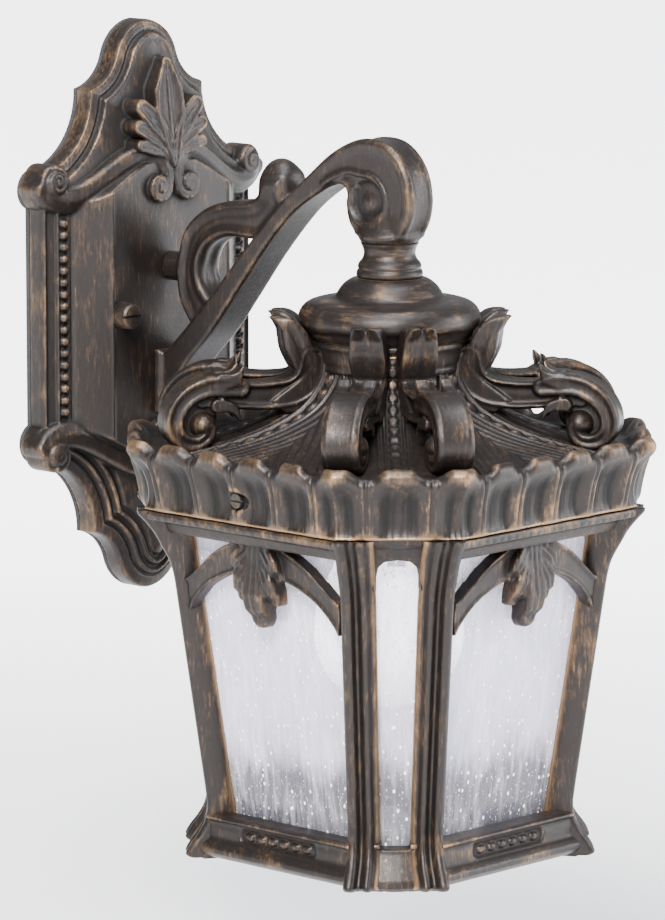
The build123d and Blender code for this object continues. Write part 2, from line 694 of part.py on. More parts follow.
def make_bulb_stem():
    neck = bulb_neck()
    stem = turned([(0, neck), (8, neck), (4, neck - 8), (2.2, neck - 26), (0, neck - 26)])
    wire = FilletPolyline((-9, 0, neck - 44), (-3, 0, neck - 46), (3, 0, neck - 46),
                          (9, 0, neck - 44), radius=3)
    coil = sweep(Plane(origin=wire @ 0, z_dir=wire % 0) * Circle(0.7), wire)
    for side in (1, -1):
        stem += rod(0.6, (side * 1.2, 0, neck - 24), (side * 8.6, 0, neck - 44))
    return LANTERN * (stem + coil)


# ---------------------------------------------------------------- cage
def post_half(h):
    """Half width of the cage on the straight line of its posts."""
    return SKIRT_HALF - CAGE_IN + CAGE_TAPER * h


def cage_line():
    """Outside of the cage, from the feet up to the parting line."""
    foot = -CAGE_H
    line = [(post_half(foot) + 10.1, foot), (post_half(foot) + 10.0, foot + 1.0),
            (post_half(foot) + 8.6, foot + 3.0), (post_half(foot) + 4.4, foot + 10.0),
            (post_half(foot) + 2.8, foot + 16.0), (post_half(foot + 22), foot + 22.0)]
    tip = SKIRT_HALF + CAGE_TIP_OUT
    line += [(post_half(-30.0), -30.0), (post_half(-21.0) + 0.6, -21.0), (tip - 7.9, -13.0),
             (tip - 4.1, -7.0), (tip - 0.5, -2.6), (tip, -1.4), (tip, -PARTING_GAP)]
    return line


def straight(inset, low, high):
    """Octagonal solid inside the straight post line."""
    return octagonal([(post_half(low), low), (post_half(high), high)], inset=inset)


def wide_half(h):
    """Half width of a wide window."""
    return (1 - CUT) * post_half(h) - POST_WIDE


WINDOW_TOP = -9.0
WINDOW_BOTTOM = -128.0
NARROW_TOP_HALF = 8.2
NARROW_BOTTOM_HALF = 5.7
GLASS_LAP = 4.0


def side_slab(points):
    """Slab through the +X side of the cage from (sideways, height) points."""
    return extrude(outline_face(points, Plane.YZ), FAR)


def arch_points(half, spring, apex):
    """Pointed arch from one springing point to the other."""
    rise = apex - spring
    left = [(-half * cos(radians(a)), spring + rise * sin(radians(a)) * (1 + 0.10 * sin(radians(2 * a))))
            for a in (0, 18, 36, 54, 72)]
    return left + [(0.0, apex + 2.0)] + [(-t, h) for t, h in reversed(left)]


def make_cage_frame():
    low, high = -CAGE_H, -PARTING_GAP
    frame = octagonal(cage_line())
    frame -= straight(FRAME_T, low + LEDGE_T, high + 1)
    frame -= straight(FRAME_T + LEDGE, low - 1, high)
    window = side_slab([(-wide_half(WINDOW_BOTTOM), WINDOW_BOTTOM), (wide_half(WINDOW_BOTTOM), WINDOW_BOTTOM),
                        (wide_half(WINDOW_TOP), WINDOW_TOP), (-wide_half(WINDOW_TOP), WINDOW_TOP)])
    slot = side_slab([(-NARROW_BOTTOM_HALF, WINDOW_BOTTOM), (NARROW_BOTTOM_HALF, WINDOW_BOTTOM),
                      (NARROW_TOP_HALF, WINDOW_TOP - 4), (NARROW_TOP_HALF - 3, WINDOW_TOP),
                      (3 - NARROW_TOP_HALF, WINDOW_TOP), (-NARROW_TOP_HALF, WINDOW_TOP - 4)])
    frame -= on_sides(window, WIDE_SIDES) + on_sides(slot, NARROW_SIDES)

    skin = straight(1.0, WINDOW_BOTTOM, WINDOW_TOP + 4) - straight(FRAME_T, -CAGE_H, 0)
    spring = wide_half(-60.0) + 2.0
    outer = side_slab(arch_points(spring, -60.0, -29.0) + [(spring, -64.0), (-spring, -64.0)])
    inner = side_slab(arch_points(spring - 5.5, -64.0, -37.0))
    inner += side_slab([(5.5 - spring, -63.9), (5.5 - spring, -70.0), (spring - 5.5, -70.0),
                        (spring - 5.5, -63.9)])
    leaf = side_slab([(-9.0, WINDOW_TOP + 2), (9.0, WINDOW_TOP + 2), (11.0, -22.0), (8.5, -34.0),
                      (7.0, -46.0), (3.5, -52.0), (-3.5, -52.0), (-7.0, -46.0), (-8.5, -34.0),
                      (-11.0, -22.0)])
    tracery = ((outer - inner) + leaf) & skin
    frame += on_sides(tracery, WIDE_SIDES)

    upstand = octagonal([(SKIRT_HALF, -2.0), (SKIRT_HALF, UPSTAND_H)], inset=ROOF_WALL + SEAT_GAP)
    upstand -= octagonal([(SKIRT_HALF, -3.0), (SKIRT_HALF, UPSTAND_H + 1)],
                         inset=ROOF_WALL + SEAT_GAP + UPSTAND_T)
    frame += upstand
    half_slot = CAGE_SCREW_R + LOOSE_GAP
    for side in (1, -1):
        x = side * (SKIRT_HALF - ROOF_WALL - SEAT_GAP - UPSTAND_T / 2)
        frame -= Pos(x, 0, SCREW_HEIGHT + UPSTAND_H / 2) * Box(2 * UPSTAND_T, 2 * half_slot, UPSTAND_H)
        frame -= rod(half_slot, (x - UPSTAND_T, 0, SCREW_HEIGHT), (x + UPSTAND_T, 0, SCREW_HEIGHT))
    for angle in WIDE_SIDES + NARROW_SIDES:
        frame -= Rot(0, 0, angle) * Pos(clip_screw_at(angle), 0, 0) * round_bar(
            CLIP_SCREW_R + FIT_GAP, -CLIP_SCREW_L - 1, 5)
    return LANTERN * frame


def glass_half(h, wide):
    """Half width of a pane's outer face, clear of the next pane."""
    share = 1 - CUT if wide else CUT / sqrt(2)
    return share * post_half(h) - (FRAME_T + GLASS_T) * tan(radians(22.5)) - PANE_GAP


def make_pane(angle, wide):
    top = WINDOW_TOP + GLASS_LAP
    low = -CAGE_H + LEDGE_T
    skin = straight(FRAME_T, low, top) - straight(FRAME_T + GLASS_T, low - 1, top + 1)
    cutter = side_slab([(-glass_half(low, wide), low), (glass_half(low, wide), low),
                        (glass_half(top, wide), top), (-glass_half(top, wide), top)])
    return LANTERN * Rot(0, 0, angle) * ((skin & cutter) if wide else (Rot(0, 0, -45) * skin & cutter))


CLIP_SCREW_R = 1.4
CLIP_SCREW_L = 5.0
CLIP_W = 7.0
CLIP_T = 0.8


def side_distance(angle):
    """Distance ratio of a side of the octagon: wide or narrow."""
    return 1.0 if angle in WIDE_SIDES else NARROW


def clip_screw_at(angle):
    """Distance of a glass clip's screw from the axis."""
    return post_half(0) * side_distance(angle) - FRAME_T + 4.5


def make_clips():
    clips = []
    for angle in WIDE_SIDES + NARROW_SIDES:
        drop = -14.0
        pane = post_half(drop) * side_distance(angle) - FRAME_T - GLASS_T
        out = clip_screw_at(angle)
        flat = Pos((pane - CLIP_T + out + 3) / 2, 0, -PARTING_GAP + CLIP_T / 2) * Box(
            out + 3 - pane + CLIP_T, CLIP_W, CLIP_T)
        leg = Pos(pane - CLIP_T / 2, 0, (drop - PARTING_GAP) / 2) * Box(
            CLIP_T, CLIP_W, -drop - PARTING_GAP)
        clip = flat + leg
        clip -= Pos(out, 0, 0) * round_bar(CLIP_SCREW_R + FIT_GAP, -5, 5)
        clips.append(LANTERN * Rot(0, 0, angle) * clip)
    return clips


def make_clip_screws():
    seat = CLIP_T - PARTING_GAP
    screw = round_bar(CLIP_SCREW_R, -CLIP_SCREW_L, seat) + round_bar(2.6, seat, seat + 1.6)
    screw -= Pos(0, 0, seat + 1.6) * Box(6, 0.7, 1.2)
    return [LANTERN * Rot(0, 0, angle) * Pos(clip_screw_at(angle), 0, 0) * screw
            for angle in WIDE_SIDES + NARROW_SIDES]


# ---------------------------------------------------------------- cage screws
CAGE_NUT_T = 2.5
CAGE_NUT_AF = 7.0


def cage_nut_face():
    """Distance of the nut's outer face, just inside the cage's upstand."""
    return SKIRT_HALF - ROOF_WALL - SEAT_GAP - UPSTAND_T - LOOSE_GAP


def make_cage_screw(side):
    seat = skirt_face() - screw_sink()
    end = cage_nut_face() - CAGE_NUT_T - 1.0
    screw = rod(CAGE_SCREW_R, (end, 0, SCREW_HEIGHT), (seat + 1.0, 0, SCREW_HEIGHT))
    screw += rod(2.9, (seat + FIT_GAP, 0, SCREW_HEIGHT), (seat + 1.8, 0, SCREW_HEIGHT))
    screw -= Pos(seat + 1.8, 0, SCREW_HEIGHT) * Box(1.8, 8, 0.9)
    return LANTERN * Rot(0, 0, 0 if side > 0 else 180) * screw


def make_cage_nuts():
    face = cage_nut_face()
    nut = Pos(face - CAGE_NUT_T / 2, 0, SCREW_HEIGHT) * Box(CAGE_NUT_T, CAGE_NUT_AF, CAGE_NUT_AF)
    nut -= rod(CAGE_SCREW_R + FIT_GAP, (face - 2 * CAGE_NUT_T, 0, SCREW_HEIGHT),
               (face + 1, 0, SCREW_HEIGHT))
    return [LANTERN * Rot(0, 0, angle) * nut for angle in (0, 180)]


# ---------------------------------------------------------------- all nodes
SIDE_NAMES = {0: "right", 45: "back_right", 90: "back", 135: "back_left",
              180: "left", 225: "front_left", 270: "front", 315: "front_right"}


def scroll_name(angle):
    """Name of a hip scroll from the narrow side and the wide side it stands between."""
    corner = SIDE_NAMES[int(angle // 90 % 4) * 90 + 45]
    beside = SIDE_NAMES[int(round(angle / 90)) % 4 * 90]
    return f"scroll_{corner}_{beside}_side"


def all_nodes():
    nodes = {
        "wall_gasket": make_gasket(),
        "backplate": make_backplate(),
        "mounting_strap": make_strap(),
        "ground_screw": make_ground_screw(),
        "mounting_studs": make_studs(),
        "stud_nuts": make_stud_nuts(),
        "cap_washers": make_cap_washers(),
        "cap_nut_left": make_cap_nut(-1),
        "cap_nut_right": make_cap_nut(1),
        "arm": make_arm(),
        "arm_screws": make_arm_screws(),
        "neck_ring": make_neck_ring(),
        "dome_cap": make_dome_cap(),
        "roof": make_roof(),
        "hanging_nipple": make_nipple(),
        "nipple_lock_washer": make_lock_washer(),
        "nipple_nut": make_nipple_nut(),
        "scroll_screws": make_scroll_screws(),
        "socket_bracket": make_socket_bracket(),
        "socket_screws": make_socket_screws(),
        "lampholder": make_lampholder(),
        "screw_shell": make_screw_shell(),
        "centre_contact": make_centre_contact(),
        "bulb_cap": make_bulb_cap(),
        "bulb_glass": make_bulb_glass(),
        "bulb_stem": make_bulb_stem(),
        "cage_frame": make_cage_frame(),
        "glass_clips": make_clips(),
        "clip_screws": make_clip_screws(),
        "cage_screw_left": make_cage_screw(-1),
        "cage_screw_right": make_cage_screw(1),
        "cage_nuts": make_cage_nuts(),
    }
    for angle in HIPS:
        nodes[scroll_name(angle % 360)] = make_scroll(angle)
    for angle in WIDE_SIDES + NARROW_SIDES:
        nodes[f"pane_{SIDE_NAMES[angle]}"] = make_pane(angle, angle in WIDE_SIDES)
    return nodes


def write_nodes():
    os.makedirs("parts", exist_ok=True)
    for name, shape in all_nodes().items():
        solids = shape if isinstance(shape, list) else [shape]
        whole = Compound(children=[solid for item in solids for solid in item.solids()])
        export_step(whole, f"parts/{name}.step")


write_nodes()
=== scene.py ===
"""Wall lantern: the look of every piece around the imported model, laid out as a Blender add-on."""
import json
import math

import bpy
import numpy as np
from mathutils import Matrix, Vector


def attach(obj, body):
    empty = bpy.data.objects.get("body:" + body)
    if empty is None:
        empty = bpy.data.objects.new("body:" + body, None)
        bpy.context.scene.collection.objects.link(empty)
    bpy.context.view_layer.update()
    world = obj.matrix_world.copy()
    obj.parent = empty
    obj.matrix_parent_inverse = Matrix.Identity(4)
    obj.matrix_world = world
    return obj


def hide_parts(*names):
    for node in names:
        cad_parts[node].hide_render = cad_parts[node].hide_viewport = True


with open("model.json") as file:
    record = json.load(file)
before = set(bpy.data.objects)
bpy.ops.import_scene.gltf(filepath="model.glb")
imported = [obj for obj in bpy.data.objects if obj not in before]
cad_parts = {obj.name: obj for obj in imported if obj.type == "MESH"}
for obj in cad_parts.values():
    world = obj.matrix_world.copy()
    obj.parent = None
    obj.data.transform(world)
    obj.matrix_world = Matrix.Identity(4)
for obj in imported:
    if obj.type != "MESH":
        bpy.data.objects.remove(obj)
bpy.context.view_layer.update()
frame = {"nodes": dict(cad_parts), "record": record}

bl_info = {
    "name": "Outdoor wall lantern",
    "version": (1, 0, 0),
    "blender": (4, 5, 0),
    "location": "3D View > Sidebar > Lantern",
    "description": "Builds the cast and glass pieces of an outdoor wall lantern",
    "category": "Object",
}

MM = 0.001
CUT = 0.4                              # corner cut of the octagon as a share of its half width
NARROW = (2 - CUT) / math.sqrt(2)      # narrow side distance over wide side distance
HIP_ANGLE = math.degrees(math.atan2(1 - CUT, 1))
HIPS = [quarter * 90 + side * HIP_ANGLE for quarter in range(4) for side in (1, -1)]
SIDE_NAMES = {0: "right", 45: "back_right", 90: "back", 135: "back_left",
              180: "left", 225: "front_left", 270: "front", 315: "front_right"}
MOST_TRIANGLES = 170000
ROOF_TRIANGLES = 190000


# ---------------------------------------------------------------- sizes and colours
class LanternSizes(bpy.types.PropertyGroup):
    """Sizes that shape the lantern's cast and glass pieces"""
    reach: bpy.props.FloatProperty(
        name="Reach", description="Wall to the lantern's axis",
        default=0.1465, min=0.05, unit="LENGTH", subtype="DISTANCE")
    parting: bpy.props.FloatProperty(
        name="Parting line", description="Height of the roof's lower edge from the plate's centre",
        default=-0.065, unit="LENGTH", subtype="DISTANCE")
    skirt: bpy.props.FloatProperty(
        name="Skirt", description="Half width of the roof at the parting line",
        default=0.086, min=0.02, unit="LENGTH", subtype="DISTANCE")
    neck: bpy.props.FloatProperty(
        name="Neck", description="Half width of the roof under its collar",
        default=0.028, min=0.01, unit="LENGTH", subtype="DISTANCE")
    cast_step: bpy.props.FloatProperty(
        name="Casting step", description="Fineness of the cast ornament",
        default=0.0006, min=0.0003, unit="LENGTH", subtype="DISTANCE")
    petals_wide: bpy.props.IntProperty(
        name="Petals on a wide side", description="Petal spacings of the cornice on a wide side",
        default=5, min=2)
    petals_narrow: bpy.props.IntProperty(
        name="Petals on a narrow side", description="Petal spacings of the cornice on a narrow side",
        default=2, min=1)
    plate_beads: bpy.props.IntProperty(
        name="Plate beads", description="Beads in each column of the wall plate",
        default=17, min=3)
    bead_pitch: bpy.props.FloatProperty(
        name="Bead pitch", description="Distance between beads of the wall plate",
        default=0.00485, min=0.001, unit="LENGTH", subtype="DISTANCE")


class LanternColours(bpy.types.PropertyGroup):
    """Colours of the lantern's finishes"""
    bronze: bpy.props.FloatVectorProperty(
        name="Bronze", description="Dark bronze paint", subtype="COLOR", size=3,
        default=(0.0098, 0.0080, 0.0078))
    umber: bpy.props.FloatVectorProperty(
        name="Umber", description="Warm brown of the brushed areas", subtype="COLOR", size=3,
        default=(0.058, 0.034, 0.0190))
    rub: bpy.props.FloatVectorProperty(
        name="Gold rub", description="Gold rubbed over raised edges", subtype="COLOR", size=3,
        default=(0.30, 0.185, 0.098))
    # Near black of the recesses: partly the finish's dark patina, partly painted shade in hollows and
    # creases
    recess_patina_and_shade: bpy.props.FloatVectorProperty(
        name="Recess", description="Near black of the recesses", subtype="COLOR", size=3,
        default=(0.0025, 0.002, 0.002))
    glass: bpy.props.FloatVectorProperty(
        name="Glass", description="Pale tint of the seeded glass", subtype="COLOR", size=3,
        default=(0.54, 0.53, 0.64))
    glow: bpy.props.FloatProperty(
        name="Bulb glow", description="Strength of the lit bulb", default=7.0, min=0.0)


# ---------------------------------------------------------------- lines and fields
def smooth_line(points, per=8, closed=False):
    """Points along a smooth curve through the given ones."""
    points = np.asarray(points, float)
    if closed:
        ring = np.vstack([points[-1], points, points[:2]])
    else:
        ring = np.vstack([2 * points[0] - points[1], points, 2 * points[-1] - points[-2]])
    t = np.linspace(0, 1, per, endpoint=False)[:, None]
    runs = []
    for a, b, c, d in zip(ring, ring[1:], ring[2:], ring[3:]):
        runs.append(0.5 * (2 * b + (c - a) * t + (2 * a - 5 * b + 4 * c - d) * t ** 2
                           + (3 * b - a - 3 * c + d) * t ** 3))
    line = np.vstack(runs)
    return line if closed else np.vstack([line, points[-1]])


def stroke(line, u, v):
    """Distance of every grid point from a line, and how far along it the nearest spot is, 0 to 1."""
    line = np.asarray(line, float)
    steps = np.hypot(*(line[1:] - line[:-1]).T)
    along = np.concatenate([[0], np.cumsum(steps)])
    best = np.full(u.shape, 1e9)
    share = np.zeros(u.shape)
    for (au, av), (bu, bv), start, run in zip(line, line[1:], along, steps):
        du, dv = bu - au, bv - av
        t = np.clip(((u - au) * du + (v - av) * dv) / max(run * run, 1e-12), 0, 1)
        gap = (u - au - t * du) ** 2 + (v - av - t * dv) ** 2
        near = gap < best
        best = np.where(near, gap, best)
        share = np.where(near, (start + t * run) / along[-1], share)
    return np.sqrt(best), share


def outline(line, u, v):
    """Signed distance from a closed line, negative inside."""
    line = np.asarray(line, float)
    ring = np.vstack([line, line[:1]])
    distance, _ = stroke(ring, u, v)
    inside = np.zeros(u.shape, bool)
    for (au, av), (bu, bv) in zip(ring, ring[1:]):
        if av != bv:
            inside ^= ((av > v) != (bv > v)) & (u < au + (v - av) * (bu - au) / (bv - av))
    return np.where(inside, -distance, distance)


def blend_max(a, b, width):
    """The larger of two fields, with a rounded edge where they meet."""
    return np.maximum(a, b) + 0.25 * width * np.clip(1 - np.abs(a - b) / width, 0, 1) ** 2


def blend_min(a, b, width):
    """The smaller of two fields, with a fillet where they meet."""
    return -blend_max(-a, -b, width)


def profile(at, points):
    """Straight-line reading of a list of (place, value) points."""
    places, values = zip(*points)
    return np.interp(at, places, values)


def ramp(x, low, high):
    """Smooth step from 0 to 1."""
    t = np.clip((x - low) / (high - low), 0, 1)
    return t * t * (3 - 2 * t)


def bump(x, half):
    """Round bead profile: 1 in the middle, 0 at the half width."""
    return np.sqrt(np.clip(1 - (x / half) ** 2, 0, 1))


def mirrored(field):
    """A field for both sides of its first plane, from the field of one side."""
    return np.concatenate([field[:0:-1], field], 0).astype(np.float32)


def flat(values):
    """A map over the second and third axes, ready to meet a field's first axis."""
    return values[None, :, :]


def layer(values):
    """A map over the first and third axes, ready to meet a field's second axis."""
    return values[:, None, :]


def eased(height, step, most):
    """How much longer a slope is than its plan, up to a limit."""
    slope = sum(g ** 2 for g in np.gradient(height, step))
    return np.sqrt(1 + np.minimum(slope, most))


def skin(field, low, step):
    """Points and quads of the surface where a field on a grid turns from negative to positive."""
    shape = tuple(n - 1 for n in field.shape)
    total = np.zeros((*shape, 3), np.float32)
    count = np.zeros(shape, np.float32)
    for axis in range(3):
        a = field[tuple(slice(0, -1) if k == axis else slice(None) for k in range(3))]
        b = field[tuple(slice(1, None) if k == axis else slice(None) for k in range(3))]
        cross = (a < 0) != (b < 0)
        share = np.where(cross, a / np.where(cross, a - b, 1), 0)
        p, q = [k for k in range(3) if k != axis]
        for i in (0, 1):
            for j in (0, 1):
                part = [slice(None)] * 3
                part[p] = slice(i, i + shape[p])
                part[q] = slice(j, j + shape[q])
                here = cross[tuple(part)]
                total[..., axis] += share[tuple(part)]
                total[..., p] += i * here
                total[..., q] += j * here
                count += here
    used = count > 0
    index = np.full(shape, -1, np.int64)
    index[used] = np.arange(int(used.sum()))
    points = (np.argwhere(used) + total[used] / count[used][:, None]) * step + np.asarray(low)
    quads = []
    for axis in range(3):
        p, q = (axis + 1) % 3, (axis + 2) % 3
        inner = [slice(1, -1)] * 3
        inner[axis] = slice(0, -1)
        a = field[tuple(inner)] < 0
        inner[axis] = slice(1, None)
        b = field[tuple(inner)] < 0
        at = np.argwhere(a != b)
        at[:, p] += 1
        at[:, q] += 1
        corners = []
        for dp, dq in ((-1, -1), (0, -1), (0, 0), (-1, 0)):
            spot = at.copy()
            spot[:, p] += dp
            spot[:, q] += dq
            corners.append(index[tuple(spot.T)])
        ring = np.stack(corners, 1)
        back = ~a[a != b]
        ring[back] = ring[back][:, ::-1]
        quads.append(ring)
    return points, np.vstack(quads)


def swept(rings, close_around=True, close_along=False):
    """Points and quads of a surface from rows of points, each row a ring or a strip."""
    rings = np.asarray(rings, float)
    rows, columns = rings.shape[:2]
    i = np.arange(rows if close_along else rows - 1)[:, None]
    j = np.arange(columns if close_around else columns - 1)[None, :]
    i2, j2 = (i + 1) % rows, (j + 1) % columns
    quads = np.stack([i * columns + j, i * columns + j2, i2 * columns + j2, i2 * columns + j], -1)
    return rings.reshape(-1, 3), quads.reshape(-1, 4)


def turned(profile, around=96, middle=(0.0, 0.0)):
    """Points and quads of a turned piece from a closed profile of (radius, height) points."""
    profile = np.asarray(profile, float)
    turn = np.linspace(0, 2 * math.pi, around, endpoint=False)
    rings = np.stack([middle[0] + profile[:, :1] * np.cos(turn), middle[1] + profile[:, :1] * np.sin(turn),
                      np.repeat(profile[:, 1:], around, 1)], -1)
    return swept(rings, close_along=True)


# ---------------------------------------------------------------- pieces
def make_mesh(name, points, quads, caps=()):
    """A smooth mesh object in metres from points in millimetres in the row's frame."""
    mesh = bpy.data.meshes.new(name)
    sizes = np.concatenate([np.full(len(quads), 4), [len(c) for c in caps]]).astype(np.int32)
    loops = np.concatenate([np.asarray(quads).ravel(), *caps]).astype(np.int32)
    mesh.vertices.add(len(points))
    mesh.vertices.foreach_set("co", (np.asarray(points, float) * MM).astype(np.float32).ravel())
    mesh.loops.add(len(loops))
    mesh.loops.foreach_set("vertex_index", loops)
    mesh.polygons.add(len(sizes))
    mesh.polygons.foreach_set("loop_start", np.concatenate([[0], np.cumsum(sizes)[:-1]]).astype(np.int32))
    mesh.polygons.foreach_set("use_smooth", np.ones(len(sizes), bool))
    mesh.update(calc_edges=True)
    mesh.validate()
    piece = bpy.data.objects.new(name, mesh)
    bpy.context.scene.collection.objects.link(piece)
    return piece


def thin_out(piece, most=MOST_TRIANGLES):
    """Lowers a piece's triangle count where it has more than a part should carry."""
    count = sum(len(p.vertices) - 2 for p in piece.data.polygons)
    if count <= most:
        return
    change = piece.modifiers.new("thin out", "DECIMATE")
    change.ratio = most / count
    ready = piece.evaluated_get(bpy.context.evaluated_depsgraph_get())
    mesh = bpy.data.meshes.new_from_object(ready)
    piece.modifiers.clear()
    piece.data = mesh
    mesh.polygons.foreach_set("use_smooth", np.ones(len(mesh.polygons), bool))


def mark_relief(piece, fine=3, broad=30):
    """Stores how far each point stands out of its surroundings, in millimetres, near by and further off."""
    mesh = piece.data
    points = np.zeros(len(mesh.vertices) * 3)
    mesh.vertices.foreach_get("co", points)
    points = points.reshape(-1, 3) / MM
    normals = np.zeros(len(mesh.vertices) * 3)
    mesh.vertices.foreach_get("normal", normals)
    normals = normals.reshape(-1, 3)
    edges = np.zeros(len(mesh.edges) * 2, np.int64)
    mesh.edges.foreach_get("vertices", edges)
    a, b = edges.reshape(-1, 2).T
    count = np.maximum(np.bincount(a, minlength=len(points)) + np.bincount(b, minlength=len(points)), 1)

    def relaxed(values):
        near = [np.bincount(a, values[b, k], len(points)) + np.bincount(b, values[a, k], len(points))
                for k in range(values.shape[1])]
        return np.stack(near, 1) / count[:, None]

    moved = points
    for turn in range(broad):
        moved = relaxed(moved)
        if turn + 1 == fine:
            edge = ((points - moved) * normals).sum(1)
    hollow = ((points - moved) * normals).sum(1)
    for name, values in (("edge", edge), ("hollow", hollow)):
        values = values[:, None]
        for _ in range(2):
            values = 0.5 * values + 0.5 * relaxed(values)
        marks = mesh.attributes.new(name, "FLOAT", "POINT")
        marks.data.foreach_set("value", values[:, 0].astype(np.float32))


def copy_relief(source, piece):
    """Gives a piece the relief marks of another with the same points."""
    values = np.zeros(len(piece.data.vertices), np.float32)
    for name in ("edge", "hollow"):
        source.data.attributes[name].data.foreach_get("value", values)
        piece.data.attributes.new(name, "FLOAT", "POINT").data.foreach_set("value", values)


def fit_piece(piece, body, slot, material, *nodes):
    """Puts a finished piece into the assembly: its body, its finish and the nodes it stands for."""
    piece.data.materials.clear()
    piece.data.materials.append(material)
    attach(piece, body)
    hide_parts(*nodes)
    return piece


def lantern_frame(points, sizes):
    """Moves points from the lantern's own frame, axis and parting line, to the row's frame."""
    return np.asarray(points, float) + np.array([0, -sizes.reach / MM, sizes.parting / MM])


def turned_about(points, degrees):
    """Points turned about the lantern's axis."""
    a = math.radians(degrees)
    x, y, z = np.asarray(points, float).T
    return np.stack([x * math.cos(a) - y * math.sin(a), x * math.sin(a) + y * math.cos(a), z], 1)


# ---------------------------------------------------------------- materials
class Value:
    """A number that varies over a surface; Python's arithmetic on it adds Math nodes."""

    def __init__(self, paint, socket):
        self.paint = paint
        self.socket = socket

    def math(self, operation, a, b, clamp=False):
        """Adds one Math node."""
        settings = {"operation": operation, "use_clamp": clamp}
        return self.paint.node("ShaderNodeMath", settings, {0: a, 1: b})

    def __add__(self, other):
        return self.math("ADD", self, other)

    def __sub__(self, other):
        return self.math("SUBTRACT", self, other)

    def __mul__(self, other):
        return self.math("MULTIPLY", self, other)

    def __truediv__(self, other):
        return self.math("DIVIDE", self, other)

    def __pow__(self, other):
        return self.math("POWER", self, other)

    def __rsub__(self, other):
        return self.math("SUBTRACT", other, self)

    __radd__ = __add__
    __rmul__ = __mul__

    def clamped(self):
        """The same number held between 0 and 1."""
        return self.math("ADD", self, 0.0, True)


class Paint:
    """One material and the nodes that paint it."""

    def __init__(self, name):
        self.material = bpy.data.materials.new(f"{name}_finish")
        self.material.use_nodes = True
        self.tree = self.material.node_tree
        self.tree.nodes.clear()
        self.output = self.tree.nodes.new("ShaderNodeOutputMaterial")

    def node(self, kind, settings=None, inputs=None, output=0):
        """Adds a node: its settings first, then its inputs; gives back one of its outputs."""
        node = self.tree.nodes.new(kind)
        for name, value in (settings or {}).items():
            setattr(node, name, value)
        for name, value in (inputs or {}).items():
            socket = node.inputs[name]
            if isinstance(value, Value):
                self.tree.links.new(value.socket, socket)
            elif isinstance(value, tuple) and len(value) == 3 and socket.type == "RGBA":
                socket.default_value = (*value, 1)
            else:
                socket.default_value = value
        return Value(self, node.outputs[output])

    def place(self, scale=(1, 1, 1)):
        """Position on the object, stretched."""
        spot = self.node("ShaderNodeTexCoord", output="Object")
        return self.node("ShaderNodeMapping", {}, {"Vector": spot, "Scale": scale})

    def noise(self, size, scale=(1, 1, 1), detail=4.0, roughness=0.55):
        """Cloudy noise whose blotches are about the given size in metres."""
        return self.node("ShaderNodeTexNoise", {}, {
            "Vector": self.place(scale), "Scale": 1 / size, "Detail": detail,
            "Roughness": roughness}, "Fac")

    def cells(self, size, scale=(1, 1, 1)):
        """Distance to scattered spots of about the given spacing in metres."""
        return self.node("ShaderNodeTexVoronoi", {}, {
            "Vector": self.place(scale), "Scale": 1 / size, "Randomness": 1.0}, "Distance")

    def stored(self, name):
        """A number stored on the mesh."""
        return self.node("ShaderNodeAttribute", {"attribute_type": "GEOMETRY", "attribute_name": name},
                         output="Fac")

    def between(self, value, low, high, start=0.0, end=1.0):
        """Eases a number from one range to another."""
        return self.node("ShaderNodeMapRange", {"interpolation_type": "SMOOTHSTEP"}, {
            "Value": value, "From Min": low, "From Max": high, "To Min": start, "To Max": end})

    def mix(self, share, a, b):
        """Colour between two colours."""
        return self.node("ShaderNodeMix", {"data_type": "RGBA"}, {
            "Factor": share, 6: a, 7: b}, 2)

    def raised(self, height, distance, strength=1.0):
        """Normal of a bumpy surface."""
        return self.node("ShaderNodeBump", {}, {
            "Height": height, "Distance": distance, "Strength": strength})

    def finish(self, shader):
        """Joins the shader to the output and gives back the material."""
        self.tree.links.new(shader.socket, self.output.inputs["Surface"])
        return self.material

    def surface(self, **inputs):
        """The main shader; names use underscores for spaces."""
        return self.node("ShaderNodeBsdfPrincipled", {}, {
            name.replace("_", " "): value for name, value in inputs.items()})


